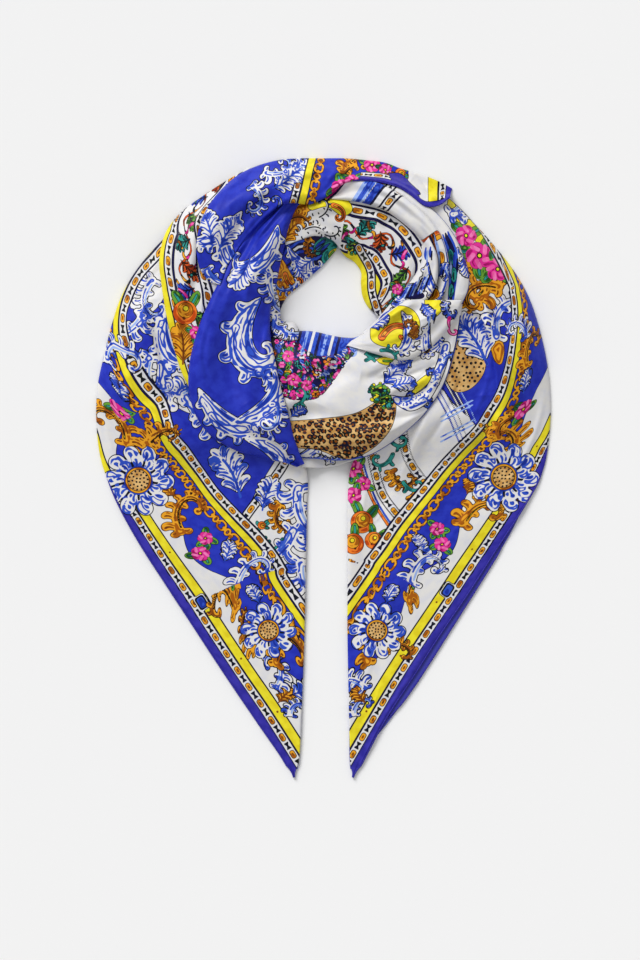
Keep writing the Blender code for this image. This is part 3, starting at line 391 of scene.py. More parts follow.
WALL_MOTIFS = table_of(Motif, """
    leaflet_teal 14 276 30 205 0.5; leaflet_teal 8 262 22 200 -0.5; strokes 8 270 26 215 0.3;
    leaflet_yellow 18 264 18 220 0.5; gold_scroll -14 272 12 230 3; plume -44 264 24 300 1.8;
    feather -8 254 28 226 -0.6; feather -34 246 24 290 0.8; volute -46 232 12 280 2.6;
    blue_scroll -30 222 18 230 -3""")
OUTER_ROLL_MOTIFS = table_of(Motif, """
    plume 160 262 20 262 -2.2; feather 166 252 24 276 0.8""")
# Teal leaves and blue and navy strokes down the outer roll's trough: partly print, partly painted
# shade.
VALLEY_SHADE_MOTIFS = table_of(Motif, """
    leaflet_teal 150 262 22 280 -0.4; leaflet_teal 156 240 20 262 0.4;
    leaflet_teal 152 220 18 272 -0.4; strokes 154 256 30 268 0.2""")
MIDDLE_ROLL_MOTIFS = table_of(Motif, """
    feather 134 262 26 262 -0.8; blue_scroll 144 242 16 270 3.2; strokes 140 240 20 262 -0.3;
    volute_blue 134 214 8 250 3; feather 146 212 22 262 0.8""")
INNER_ROLL_MOTIFS = table_of(Motif, """
    strokes 126 262 20 262 0.3; plume 124 244 22 262 2; feather 112 222 28 232 -0.8;
    blue_scroll 96 200 16 220 3.2; strokes 84 184 24 216 0.2""")
UNDER_MOTIFS = table_of(Motif, """
    plume -34 18 22 10 2.6; plume 2 2 20 40 2.4; feather -6 22 20 330 -0.8;
    blue_scroll 26 16 14 20 3.2""")
COWL_MOTIFS = table_of(Motif, """
    tendril -36 72 18 20 3.2; feather -40 58 20 50 -1.2; tendril 48 126 18 20 3.4;
    leaflet_teal 44 134 34 4 0.4; leaflet_yellow 60 128 26 -10 0.4; feather 68 96 34 40 0.6;
    feather 78 94 28 20 -0.6; bud 66 88 12 60 0; bud 74 78 9 60 0; rosette 122 140 10 0 0;
    feather 138 162 22 262 0.7; volute_red 150 172 8 250 2.6; feather 108 128 20 210 -0.6;
    volute_blue 100 132 9 70 -3""")
COWL_FLOWERS = table_of(Motif, """
    bouquet -14 116 58 0 0; blossom -42 132 6.5 40 0.5; blossom -36 104 7 10 0.5;
    blossom -20 97 6 40 0.5; feather 4 130 24 20 0.6; feather -20 134 20 40 0.6""")
MARGIN_MOTIFS = table_of(Motif, """
    plume -34 12 20 10 2.4; feather -12 12 20 340 -0.8; blue_scroll 10 6 14 20 3;
    feather 30 4 16 20 0.8""")
RIM_MOTIFS = table_of(Motif, """
    blue_scroll 92 78 10 350 3; blue_scroll 112 82 11 10 -3; blue_scroll 130 98 11 60 3;
    blue_scroll 141 124 10 70 -3""")
TWIST_MOTIFS = table_of(Motif, """
    volute 68 152 17 60 -2.6; plume 92 186 26 300 -2.2; feather 52 164 26 30 0.5;
    plume 126 172 22 250 1.8; tendril 66 138 18 10 -3.4; gold_scroll 104 154 12 60 3;
    strokes 132 188 22 250 0.3; blue_scroll 146 196 12 260 2.8; volute_red 150 178 8 250 2.6;
    feather 116 196 18 300 0.6; gold_feather 112 168 14 240 0.5""")
LIP_MOTIFS = table_of(Motif, """
    blue_scroll -62 210 20 270 3; blue_scroll -58 184 22 275 -3; blue_scroll -50 164 20 330 3""")
CORE_MOTIFS = table_of(Motif, """
    blue_scroll -170 200 40 80 3.2; blue_scroll -90 330 40 20 -3.2; blue_scroll 60 340 40 340 3.2;
    blue_scroll 160 230 40 260 -3.2; blue_scroll 120 60 40 240 3.2;
    blue_scroll -60 20 40 170 3.2""")

PANEL_ACROSS = np.array([0, 0.06, 0.15, 0.26, 0.38, MID, 0.62, 0.75, 0.88, 1])
DARTED_ACROSS = np.array([0, 0.05, 0.13, 0.24, 0.36, 0.44, MID, 0.53, 0.62, 0.74, 0.87, 1])


def eased(count):
    """Places across a sheet, closer together near its edges."""
    even = np.linspace(0, 1, count)
    return 0.45 * even + 0.55 * (0.5 - 0.5 * np.cos(math.pi * even))


# How each stretch's solid is divided, how round its two edges are, and the spacing of the sheet's
# points along and across.
Stretch = namedtuple(
    "Stretch", "table count across rounds along_step across_step held rests_on dart",
    defaults=[None])
STRETCHES = {
    "tail_left": Stretch(TAIL_LEFT, 38, PANEL_ACROSS, (0.12, 0.05), 1.4, 1.55, "folded",
                         ["tail_left_back", "core"]),
    "tail_right": Stretch(TAIL_RIGHT, 38, DARTED_ACROSS, (0.12, 0.05), 1.4, 1.5, "folded",
                          ["tail_right_back", "core"], SHOULDER_DART),
    "inner_wall_left": Stretch(INNER_LEFT, 12, eased(6), (0.4, 0.3), 1.0, 1.0, "draped", ["core"]),
    "inner_band": Stretch(BAND, 24, eased(8), (0.3, 0.25), 1.0, 1.0, "draped", ["core"]),
    "roll_outer": Stretch(ROLL_OUTER, 22, eased(7), (0.5, 0.5), 1.1, 1.0, "folded", ["core"]),
    "roll_middle": Stretch(ROLL_MIDDLE, 24, eased(7), (0.5, 0.5), 1.1, 1.0, "folded",
                           ["roll_outer"]),
    "roll_inner": Stretch(ROLL_INNER, 20, eased(7), (0.5, 0.5), 1.1, 1.0, "folded", ["inner_band"]),
    "frieze_strand": Stretch(FRIEZE, 22, eased(7), (0.35, 0.3), 1.1, 1.1, "draped", ["tail_left"]),
    "cowl_under": Stretch(COWL_UNDER, 8, eased(4), (0.4, 0.4), 1.1, 1.1, "draped", ["core"]),
    "cowl_front": Stretch(COWL_FRONT, 26, eased(14), (0.16, 0.22), 1.1, 1.1, "draped", ["core"]),
    "cowl_twist": Stretch(COWL_TWIST, 18, eased(8), (0.35, 0.3), 1.0, 1.0, "draped",
                          ["cowl_front"]),
    "lip_left": Stretch(LIP, 12, eased(6), (0.5, 0.5), 1.0, 1.0, "folded", ["cowl_front"]),
    "strand_left": Stretch(STRAND_LEFT, 30, eased(10), (0.3, 0.3), 1.1, 1.1, "draped",
                           ["tail_left", "cowl_front"]),
    "crown_strand": Stretch(CROWN, 34, eased(9), (0.35, 0.3), 1.1, 1.1, "draped",
                            ["frieze_strand", "inner_band"]),
}


# ---------------------------------------------------------------------------------------------
# Curves and sheets.

def smooth_curve(table):
    """Read a Catmull-Rom curve through the rows of a table."""
    rows = np.array(table, float)
    rows = np.vstack([2 * rows[0] - rows[1], rows, 2 * rows[-1] - rows[-2]])
    t = np.linspace(0, 1, CURVE_STEPS, endpoint=False)[:, None]
    spans = []
    for before, here, after, beyond in zip(rows, rows[1:], rows[2:], rows[3:]):
        spans.append(here + 0.5 * ((after - before) * t
                                   + (2 * before - 5 * here + 4 * after - beyond) * t ** 2
                                   + (3 * here - before - 3 * after + beyond) * t ** 3))
    spans.append(rows[-2:-1])
    return np.vstack(spans)


def walked(points):
    """How far along a path each of its points is."""
    return np.concatenate([[0], np.cumsum(np.linalg.norm(np.diff(points, axis=0), axis=1))])


def even_sections(table, count):
    """Read the curve at places an even distance apart; the last column isn't a length."""
    fine = smooth_curve(table)
    far = walked(fine[:, :-1])
    places = np.linspace(0, far[-1], count)
    return np.column_stack([np.interp(places, far, column) for column in fine.T])


def plan_points(sections, across):
    """Points of the sheet on the plan, along by across, and the width at each section."""
    edges = sections[:, :-1].reshape(len(sections), -1, 2) - np.array(PLAN_CENTRE)
    knots = np.linspace(0, 1, edges.shape[1])
    plan = np.empty((len(sections), len(across), 2))
    for row, points in enumerate(edges):
        for axis in range(2):
            plan[row, :, axis] = np.interp(across, knots, points[:, axis])
    return plan, np.linalg.norm(np.diff(edges, axis=1), axis=2).sum(axis=1)


def quarter_round(share):
    """Rise of a rounded edge, from 0 at the edge to 1 a full round in from it."""
    return np.sqrt(1 - (1 - np.clip(share, 0, 1)) ** 2)


def fold_height(table, plan):
    """Heights of the folds, each fading out at its ends."""
    reach = np.linspace(0, 1, FOLD_STEPS)
    total = np.zeros(plan.shape[:2])
    for fold in table:
        start, via, end = np.array(fold[:6]).reshape(3, 2) - np.array(PLAN_CENTRE)
        bend = 2 * via - (start + end) / 2
        line = (np.outer((1 - reach) ** 2, start) + np.outer(2 * reach * (1 - reach), bend)
                + np.outer(reach ** 2, end))
        off, share = nearest_on(line, plan)
        fade = np.sin(math.pi * np.clip(share / walked(line)[-1], 0, 1)) ** 0.7
        total += fold.height * fade * np.exp(-(off / fold.width) ** 2)
    return total


def nearest_on(path, spots):
    """Distance of each spot from a path, below zero at its right, and how far along it that is."""
    best = np.full(spots.shape[:-1], np.inf)
    signed, station = best.copy(), np.zeros(spots.shape[:-1])
    for start, end, before in zip(path, path[1:], walked(path)):
        run = end - start
        long = math.hypot(*run)
        if long < 1e-6:
            continue
        x, y = spots[..., 0] - start[0], spots[..., 1] - start[1]
        share = np.clip((x * run[0] + y * run[1]) / long ** 2, 0, 1)
        off = np.hypot(x - share * run[0], y - share * run[1])
        nearer = off < best
        best[nearer] = off[nearer]
        signed[nearer] = np.copysign(off, run[0] * y - run[1] * x)[nearer]
        station[nearer] = before + share[nearer] * long
    return signed, station


def dart_height(dart, plan, across, width):
    """A step up on the near side of the middle curve, which dies out away from it."""
    level = plan[:, np.abs(across - MID).argmin(), 1] + PLAN_CENTRE[1]
    rise = np.clip((level - dart.low) / (dart.full - dart.low), 0, 1)
    fall = np.clip((dart.high - level) / (dart.high - dart.full), 0, 1)
    off = (MID - across[None, :]) * width[:, None]
    side = np.where(off >= 0, np.exp(-(off / dart.width) ** 2), 0)
    return dart.height * (rise * np.sqrt(fall))[:, None] * side


def own_height(name, sections, plan, width, across):
    """What the stretch's loft, folds and dart add to the height of what it lies on."""
    spec = STRETCHES[name]
    along = np.linspace(0, 1, len(sections))
    edge = quarter_round(across / spec.rounds[0]) * quarter_round((1 - across) / spec.rounds[1])
    ends = quarter_round(along / END_ROUND) * quarter_round((1 - along) / END_ROUND)
    height = sections[:, -1:] * (END_LOFT + (1 - END_LOFT) * ends[:, None]) * edge
    height += fold_height(FOLDS.get(name, []), plan) * edge
    if spec.dart:
        height += dart_height(spec.dart, plan, across, width)
    return height


def smooth_between(knots, values, wanted):
    """A smooth curve through the values at the knots, read at other places, down the first axis."""
    slopes = np.gradient(values, knots, axis=0)
    at = np.clip(np.searchsorted(knots, wanted, side="right") - 1, 0, len(knots) - 2)
    span = (knots[at + 1] - knots[at])[:, None]
    t = (wanted - knots[at])[:, None] / span
    return (values[at] * (1 + 2 * t) * (1 - t) ** 2 + slopes[at] * span * t * (1 - t) ** 2
            + values[at + 1] * t ** 2 * (3 - 2 * t) - slopes[at + 1] * span * t ** 2 * (1 - t))


def solid_height(name, plan):
    """Height of the solid's upper face at its own corners on the plan."""
    places = np.array([vertex.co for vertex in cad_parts[name].data.vertices]) / METRE
    tree = KDTree(len(places))
    for index, (x, y, _) in enumerate(places):
        tree.insert((x, y, 0), index)
    tree.balance()
    height = np.empty(plan.shape[:2])
    for row, column in np.ndindex(height.shape):
        spot = (*plan[row, column], 0)
        near = [index for _, index, _ in tree.find_range(spot, SAME_SPOT)] or [tree.find(spot)[1]]
        height[row, column] = places[near, 2].max()
    return height


def averaged(field):
    """Each value's mean with those of its neighbours."""
    wide = np.pad(field, 1, mode="edge")
    return (wide[:-2, 1:-1] + wide[2:, 1:-1] + wide[1:-1, :-2] + wide[1:-1, 2:] + 4 * field) / 8


class Support:
    """The tops of what is laid so far, on a grid of square cells."""

    def __init__(self):
        cells = int(2 * MAP_HALF / CELL)
        self.top = np.zeros((cells, cells))

    def cells(self, points):
        """Indices of the cells that the points lie over."""
        index = ((points[..., :2] + MAP_HALF) / CELL).astype(int)
        return index[..., 0], index[..., 1]

    def add(self, points):
        """Lay points, as dense as the cells."""
        np.maximum.at(self.top, self.cells(points), points[..., 2])

    def add_sheet(self, grid):
        """Lay a sheet, with points between its own."""
        for axis in (0, 1):
            grid = np.moveaxis(grid, axis, 0)
            between = (grid[:-1] + grid[1:]) / 2
            dense = np.empty((len(grid) + len(between), *grid.shape[1:]))
            dense[::2], dense[1::2] = grid, between
            grid = np.moveaxis(dense, 0, axis)
        self.add(grid)

    def add_node(self, name):
        """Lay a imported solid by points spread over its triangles."""
        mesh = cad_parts[name].data
        corners = np.array([vertex.co for vertex in mesh.vertices]) / METRE
        triangles = np.array([face.vertices[:3] for face in mesh.polygons])
        steps = np.linspace(0, 1, NODE_STEPS)
        first, second = np.meshgrid(steps, steps)
        inside = first + second <= 1
        weights = np.column_stack([first[inside], second[inside], 1 - (first + second)[inside]])
        for triangle in corners[triangles]:
            self.add(weights @ triangle)


support = Support()
edges_of = {}       # the sheets laid so far, whose edges the hems follow


def turned_under(grid):
    """The sheet with a few more rows all round, where its folded edge turns under."""
    for axis in (0, 1):
        grid = np.moveaxis(grid, axis, 0)
        rims = []
        for edge, inside in ((grid[0], grid[1]), (grid[-1], grid[-2])):
            inward = inside - edge
            inward[..., 2] = 0
            inward /= np.maximum(np.linalg.norm(inward, axis=-1, keepdims=True), 1e-6)
            rims.append([edge + inward * reach + np.array([0, 0, up]) for reach, up in TURN_UNDER])
        before, after = rims
        grid = np.moveaxis(np.concatenate([before[::-1], grid, after]), 0, axis)
    return grid


def sheet_points(name):
    """The stretch's sheet: its solid's upper face, read closely and laid on what is below."""
    spec = STRETCHES[name]
    coarse = even_sections(spec.table, spec.count)
    plan, width = plan_points(coarse, spec.across)
    rest = solid_height(name, plan) - own_height(name, coarse, plan, width, spec.across)
    long = np.linalg.norm(np.diff(plan.mean(axis=1), axis=0), axis=1).sum()
    rows = round(max(long, walked(plan[:, 0])[-1]) / spec.along_step)
    across = np.linspace(0, 1, round(width.max() / spec.across_step))
    fine = even_sections(spec.table, rows)
    fine_plan, fine_width = plan_points(fine, across)
    if name.startswith("tail"):
        middle = fine_plan.mean(axis=1, keepdims=True)
        wide = np.clip(walked(middle[:, 0]) / TIP_TAPER, TIP_LEFT, 1)[:, None, None]
        fine_plan = middle + (fine_plan - middle) * wide
    height = smooth_between(spec.across, rest.T, across).T
    height = smooth_between(np.linspace(0, 1, spec.count), height, np.linspace(0, 1, rows))
    height += own_height(name, fine, fine_plan, fine_width, across)
    height += fold_height(CREASES.get(name, []), fine_plan) + ripple(fine_plan)
    grid = np.dstack([fine_plan, height])
    lack = support.top[support.cells(grid)] + CLEAR - height
    lift = np.maximum(lack, 0)
    for _ in range(EASE_STEPS):
        lift = np.maximum(averaged(lift), lack)
    grid[..., 2] += lift
    return grid


def ripple(plan):
    """Slight unevenness of the cloth, from a few long crossing waves."""
    x, y = plan[..., 0], plan[..., 1]
    return sum(high * np.sin(kx * x + ky * y + start) for high, kx, ky, start in WAVES)


def cloth_places(grid):
    """Flat places on the cloth: along the stretch, and across it from its middle."""
    middle = grid[:, grid.shape[1] // 2]
    along = np.repeat(walked(middle)[:, None], grid.shape[1], axis=1)
    steps = np.linalg.norm(np.diff(grid, axis=1), axis=2)
    across = np.pad(np.cumsum(steps, axis=1), ((0, 0), (1, 0)))
    return np.dstack([along, across - across[:, -1:] / 2])


# ---------------------------------------------------------------------------------------------
# The print, on cobalt. Later shapes cover earlier ones, whatever their inks.

Ink = namedtuple("Ink", "light dark brushed outline line_width", defaults=[False, None, 0])
GROUND = Ink("#2837b6", "#202ca8")
INKS = {
    "violet": Ink("#3a34a6", "#2e2a96"),
    "navy": Ink("#15134a", "#100e36"),
    "white": Ink("#dfddda", "#d7d7dc", False, "#0a0a22", 0.85),
    "yellow": Ink("#eadd2e", "#dcca20", False, "#0a0a22", 0.75),
    "ochre": Ink("#deb678", "#be8c48", False, "#1c0e06", 0.7),
    "china": Ink("#e2e0de", "#2c4cbc", True, "#0a0a22", 1.1),
    "sky": Ink("#96b0e6", "#3a5cc4", True),
    "blue": Ink("#2c4fbe", "#18309a", True),
    "gold": Ink("#e6a024", "#a4590c", True, "#2c1406", 0.85),
    "amber": Ink("#8e4c10", "#6e360a"),
    "leaf": Ink("#649c34", "#28581a", True, "#101e0c", 0.7),
    "teal": Ink("#2f958c", "#125a58", True, "#081e1e", 0.7),
    "magenta": Ink("#dc2c92", "#a00d60", True, "#52042c", 0.5),
    "pink": Ink("#f07cb8", "#e4569c"),
    "rust": Ink("#cf5420", "#8e2c0e", True, "#2c1006", 0.6),
    "orange": Ink("#ea7a26", "#b8440e", True, "#2c1406", 0.7),
    "dark": Ink("#0e140e", "#0c0c2a"),
}
# Inks of a painted leaf or scroll: its body, the light on it, and its lines.
BLUE_WORK = ("china", "sky", "blue")
GOLD_WORK = ("gold", "yellow", "amber")


class Cloth:
    """One sheet's print: for each ink, the signed distance to its edge, positive inside it."""

    def __init__(self, flat, grid):
        self.flat = flat.reshape(-1, 2)
        self.plan = grid[..., :2].reshape(-1, 2) + np.array(PLAN_CENTRE)
        self.along = self.flat[:, 0]
        self.from_a = (flat[..., 1] - flat[:, :1, 1]).ravel()
        self.from_b = (flat[:, -1:, 1] - flat[..., 1]).ravel()
        self.fields = {ink: np.full(len(self.flat), -FAR) for ink in INKS}
        self.on(self.flat)

    def on(self, places, clip=None):
        """Draw in these coordinates from now on, and only where clip is above zero."""
        self.places = places
        self.clip = np.full(len(places), FAR) if clip is None else clip

    def paint(self, ink, field, where=slice(None)):
        """Cover the places where the field is above zero with an ink, or bare the ground there."""
        field = np.minimum(field, self.clip[where])
        for name, values in self.fields.items():
            keep = np.maximum if name == ink else np.minimum
            values[where] = keep(values[where], field if name == ink else -field)

    def near(self, path, margin):
        """The points of the cloth round a path."""
        low, high = path.min(axis=0) - margin, path.max(axis=0) + margin
        return np.nonzero(((self.places > low) & (self.places < high)).all(axis=1))[0]

    def stroke(self, ink, path, radii):
        """A brush stroke along a path, as wide at each point as its radius says."""
        radii = np.maximum(radii, FINEST) * np.ones(len(path))
        where = self.near(path, radii.max() + 3)
        if not len(where):
            return
        spots, best = self.places[where], np.full(len(where), -FAR)
        for start, end, thick, thin in zip(path, path[1:], radii, radii[1:]):
            run = end - start
            share = np.clip(((spots - start) @ run) / max(run @ run, 1e-9), 0, 1)
            off = np.hypot(*(spots - start - share[:, None] * run).T)
            np.maximum(best, thick + share * (thin - thick) - off, out=best)
        self.paint(ink, best, where)

    def disc(self, ink, place, radius):
        """A round spot."""
        path = np.array([place])
        where = self.near(path, radius + 3)
        self.paint(ink, radius - np.hypot(*(self.places[where] - path).T), where)

    def stripe(self, ink, across, low, high):
        """A plain stripe."""
        self.paint(ink, (high - low) / 2 - np.abs(across - (low + high) / 2))

    def ground(self, ink):
        """Cover the whole sheet."""
        self.paint(ink, np.full(len(self.flat), FAR / 2))

    def patch(self, ink, *shapes):
        """Shapes with a smooth outline, each through the corners that its text gives."""
        for shape in shapes:
            corners = numbers(shape)
            outline = smooth_curve([*corners, corners[0]])
            where = self.near(outline, 6)
            if not len(where):
                continue
            spots = self.places[where]
            off = np.abs(nearest_on(outline, spots)[0])
            inside = np.zeros(len(spots), bool)
            for (x0, y0), (x1, y1) in zip(outline, np.roll(outline, -1, axis=0)):
                spans = (y0 > spots[:, 1]) != (y1 > spots[:, 1])
                with np.errstate(divide="ignore", invalid="ignore"):
                    met = (x1 - x0) * (spots[:, 1] - y0) / (y1 - y0) + x0
                    inside ^= spans & (spots[:, 0] < met)
            self.paint(ink, np.where(inside, off, -off), where)


def toward(turn):
    """One step in a direction."""
    return np.array([math.cos(turn), math.sin(turn)])


def leftward(angle):
    """One step to the left of each heading of a path."""
    return np.column_stack([-np.sin(angle), np.cos(angle)])


def around(place, reach, count, start=0.0):
    """Directions evenly round a place, and the spots that lie in them."""
    for turn in start + np.arange(count) * math.tau / count:
        yield turn, place + toward(turn) * reach


def scattered(chance, place, size):
    """A chance spot within a circle."""
    turn, reach = chance.uniform(0, math.tau), size * math.sqrt(chance.uniform())
    return place + reach * toward(turn)


def spiral(place, heading, length, curl, steps):
    """A path that sets out along a heading and curls tighter towards its end, and its headings."""
    t = np.linspace(0, 1, steps)
    angle = heading + curl * (0.3 * t + 0.7 * t ** 2)
    step = length / steps * (1.45 - 0.95 * t)[:, None]
    moves = step * np.column_stack([np.cos(angle), np.sin(angle)])
    return np.array(place) + np.cumsum(moves, axis=0), angle


def swelling(count, radius):
    """Radii of a stroke that swells and then thins to a point."""
    t = np.linspace(0, 1, count)
    return radius * (0.12 + 0.88 * np.sin(math.pi * t ** 0.8) ** 0.8)


def leaflet(cloth, place, size, heading, curl, inks, plump=0.17):
    """A pointed leaf with a vein."""
    path, _ = spiral(place, heading, size, curl, 9)
    radii = swelling(9, size * plump)
    cloth.stroke(inks[0], path, radii)
    cloth.stroke(inks[-1], path[2:-2], radii[2:-2] * 0.22)


def lobe(cloth, place, heading, length, curl, inks, plump=0.27):
    """A leaf that swells and curls over to a pointed tip, shaded along one side."""
    path, angle = spiral(place, heading, length, curl, 11)
    t = np.linspace(0, 1, 11)
    radii = length * plump * (0.5 + 1.25 * t - 1.62 * t ** 3)
    side = leftward(angle) * math.copysign(1, curl)
    cloth.stroke(inks[0], path, radii)
    cloth.stroke(inks[-1], path[:-2] + side[:-2] * radii[:-2, None] * 0.25, radii[:-2] * 0.24)


def scroll(cloth, place, size, heading, curl, inks):
    """A scroll: a stem that curls into a volute, with leaves like wave crests on its back."""
    body, light, line = inks
    path, angle = spiral(place, heading, size * 2.5, curl * 1.5, 26)
    radii = size * np.linspace(0.16, 0.06, 26)
    bend = math.copysign(1, curl)
    side = leftward(angle) * bend
    for turn in (-0.6, 0.5):
        lobe(cloth, path[1], heading + math.pi + turn, size * 0.46, turn * 3.4, inks)
    for index in range(18, -1, -3):
        reach = size * (0.66 - 0.022 * index)
        lobe(cloth, path[index], angle[index] - bend * 0.55, reach, -bend * 2.5, inks, 0.25)
    for index in (7, 2):
        lobe(cloth, path[index], angle[index] + bend * 0.5, size * 0.42, bend * 2.3, inks)
    cloth.stroke(body, path, radii)
    cloth.disc(body, path[-1], size * 0.12)
    cloth.stroke(light, path[1:-8] + side[1:-8] * radii[1:-8, None] * 0.5, radii[1:-8] * 0.22)
    cloth.stroke(line, path[3:] - side[3:] * radii[3:, None] * 0.3, radii[3:] * 0.2)
    cloth.disc(line, path[-1], size * 0.05)


def feather(cloth, place, size, heading, curl, inks=BLUE_WORK):
    """A leaf of paired lobes that curl back along a bending spine."""
    path, angle = spiral(place, heading, size, curl, 14)
    lobe(cloth, path[-4], angle[-4], size * 0.34, curl, inks, 0.25)
    for index in range(11, -1, -2):
        for side in (-1, 1):
            reach = size * (0.36 + 0.1 * math.sin(index * 0.35))
            lobe(cloth, path[index], angle[index] + side * 0.45, reach, side * 1.5, inks, 0.2)
    cloth.stroke(inks[-1], path[:-2], size * 0.026)


def plume(cloth, place, size, heading, curl):
    """A great curling leaf: a smooth crescent with a rolled end, and crests along its back."""
    path, angle = spiral(place, heading, size * 2.3, curl, 36)
    radii = size * (0.03 + 0.25 * np.sin(math.pi * np.linspace(0, 1, 36) ** 0.9) ** 0.9)
    bend = math.copysign(1, curl)
    side = leftward(angle) * bend
    for index, reach in ((28, 0.24), (24, 0.32), (19, 0.38), (13, 0.42), (7, 0.4), (2, 0.34)):
        back = path[index] - side[index] * radii[index] * 0.55
        lobe(cloth, back, angle[index] - bend * 0.15, size * reach, -bend * 2.6, BLUE_WORK, 0.34)
    lobe(cloth, path[-6] + side[-6] * radii[-6] * 0.4, angle[-6] + bend * 0.3, size * 0.42,
         bend * 3.2, BLUE_WORK, 0.22)
    cloth.stroke("china", path, radii)
    for off, thick, first, last in ((0.6, 0.22, 2, 31), (-0.45, 0.12, 9, 29)):
        line = slice(first, last)
        fade = np.sin(math.pi * np.linspace(0.05, 0.95, last - first))
        shade = path[line] + side[line] * radii[line, None] * off
        cloth.stroke("blue", shade, radii[line] * thick * fade)


def blossom(cloth, place, size, heading, curl):
    """A five-petalled flower on three leaves."""
    for turn in (0.4, 2.3, 4.1):
        leaflet(cloth, place, size * 1.8, heading + turn, curl, ("leaf", "teal"), 0.28)
    for _, spot in around(place, size * 0.6, 5, heading):
        cloth.disc("magenta", spot, size * 0.5)
    for turn, spot in around(place, size * 0.5, 5, heading):
        edge = place + toward(turn + 0.5) * size * 0.92
        cloth.stroke("pink", np.array([spot, edge]), size * 0.17)
    cloth.disc("dark", place, size * 0.24)
    cloth.disc("yellow", place, size * 0.14)


def rosette(cloth, place, size, heading, curl):
    """A round flower of two rings of plump curling lobes about a large spotted boss."""
    cloth.disc("blue", place, size * 0.8)
    for ink, count, near, reach, start, plump in (("navy", 10, 0.6, 0.5, 0.0, 0.52),
                                                  ("blue", 9, 0.42, 0.4, 0.3, 0.5)):
        for turn, spot in around(place, size * near, count, heading + start):
            lobe(cloth, spot, turn - 0.5, size * reach, 2.2, BLUE_WORK, plump)
        cloth.disc(ink, place, size * (near + 0.06))
    cloth.disc("gold", place, size * 0.42)
    cloth.disc("ochre", place, size * 0.37)
    for ring, count in ((0.31, 14), (0.2, 9), (0.08, 4)):
        for _, spot in around(place, size * ring, count, ring * 9):
            cloth.disc("dark", spot, max(size * 0.036, FINEST))


def fruit(cloth, place, size, heading, curl):
    """A round fruit with two leaves and a bright side."""
    for turn in (-0.5, 0.6):
        leaflet(cloth, place, size * 2.1, heading + turn, curl, ("leaf", "teal"), 0.2)
    for ink, off, radius in (("orange", 0, 1), ("gold", 0.2, 0.68), ("yellow", 0.36, 0.26),
                             ("amber", -0.5, 0.12)):
        cloth.disc(ink, place + toward(heading) * size * off, size * radius)


def jewel(cloth, place, size, heading, curl):
    """A blue stone in a white setting."""
    where = cloth.near(np.array([place]), size * 1.6)
    p, q = (cloth.places[where] - place).T
    for ink, long, wide, corner in (("white", 1, 0.72, 0.35), ("dark", 0.84, 0.56, 0.3),
                                    ("blue", 0.66, 0.38, 0.24)):
        cloth.paint(ink, tablet(p, q, size * long, size * wide, size * corner), where)


def tendril(cloth, place, size, heading, curl):
    """A curl that thins into a ball, with two lobes beside it."""
    path, angle = spiral(place, heading, size * 2.1, curl * 1.35, 20)
    cloth.stroke("teal", path, size * np.linspace(0.1, 0.04, 20))
    cloth.disc("teal", path[-1], size * 0.1)
    bend = math.copysign(1, curl)
    for index, turn, reach in ((2, 0.7, 0.42), (7, 0.9, 0.32)):
        lobe(cloth, path[index], angle[index] - bend * turn, size * reach, -bend * 1.4, ("teal",),
             0.22)


def volute(cloth, place, size, heading, curl, inks=("orange", "gold", "amber")):
    """A broad spiral."""
    path, _ = spiral(place, heading, size * 3.4, curl * 2, 34)
    cloth.stroke(inks[0], path, size * np.linspace(0.24, 0.12, 34))
    cloth.stroke(inks[1], path[1:-3], size * np.linspace(0.13, 0.05, 34)[1:-3])
    cloth.stroke(inks[2], path[4:-6], FINEST)


def strokes(cloth, place, size, heading, curl):
    """Loose brush strokes side by side."""
    across = toward(heading + math.pi / 2)
    for ink, off, start, long, thick in (
            ("blue", -0.2, 0.0, 0.8, 0.075), ("sky", -0.07, 0.15, 0.9, 0.05),
            ("blue", 0.06, -0.05, 0.7, 0.075), ("navy", 0.18, 0.2, 0.6, 0.05)):
        begin = place + size * (off * across + start * toward(heading))
        path, _ = spiral(begin, heading, size * long, curl, 10)
        cloth.stroke(ink, path, swelling(10, size * thick))


def bud(cloth, place, size, heading, curl):
    """A thick spray of small green and yellow seeds."""
    chance = np.random.default_rng(5)
    cloth.disc("dark", place, size * 0.8)
    for step in range(60):
        ink = ("leaf", "yellow", "teal", "leaf")[step % 4]
        cloth.disc(ink, scattered(chance, place, size), size * 0.13)


def bouquet(cloth, place, size, heading, curl):
    """A crowd of small flowers and leaves, which leaves no ground between them."""
    chance = np.random.default_rng(int(size))
    leaves = (("teal", "dark"), ("leaf", "dark"), ("sky", "blue"), ("blue", "navy"),
              ("blue", "china"), ("white", "blue"))
    # Each flower's petals, every third of them, its heart, and how often it comes.
    flowers = (("magenta", "pink", "yellow", 0.34), ("magenta", "magenta", "gold", 0.2),
               ("pink", "magenta", "magenta", 0.18), ("white", "pink", "magenta", 0.16),
               ("gold", "orange", "amber", 0.12))
    cloth.disc("navy", place, size * 0.9)
    for step in range(460):
        spot = scattered(chance, place, size)
        if step % 4:
            inks = leaves[chance.integers(6)]
            turn = chance.uniform(0, math.tau)
            leaflet(cloth, spot, size * chance.uniform(0.08, 0.16), turn, 0.7, inks, 0.26)
            continue
        petal, third, heart, _ = flowers[chance.choice(5, p=[flower[3] for flower in flowers])]
        small = size * chance.uniform(0.04, 0.09)
        for leaf, (_, tip) in enumerate(around(spot, small * 0.75, 6)):
            cloth.disc(petal if leaf % 3 else third, tip, small * 0.45)
        cloth.disc(heart, spot, max(small * 0.3, FINEST))


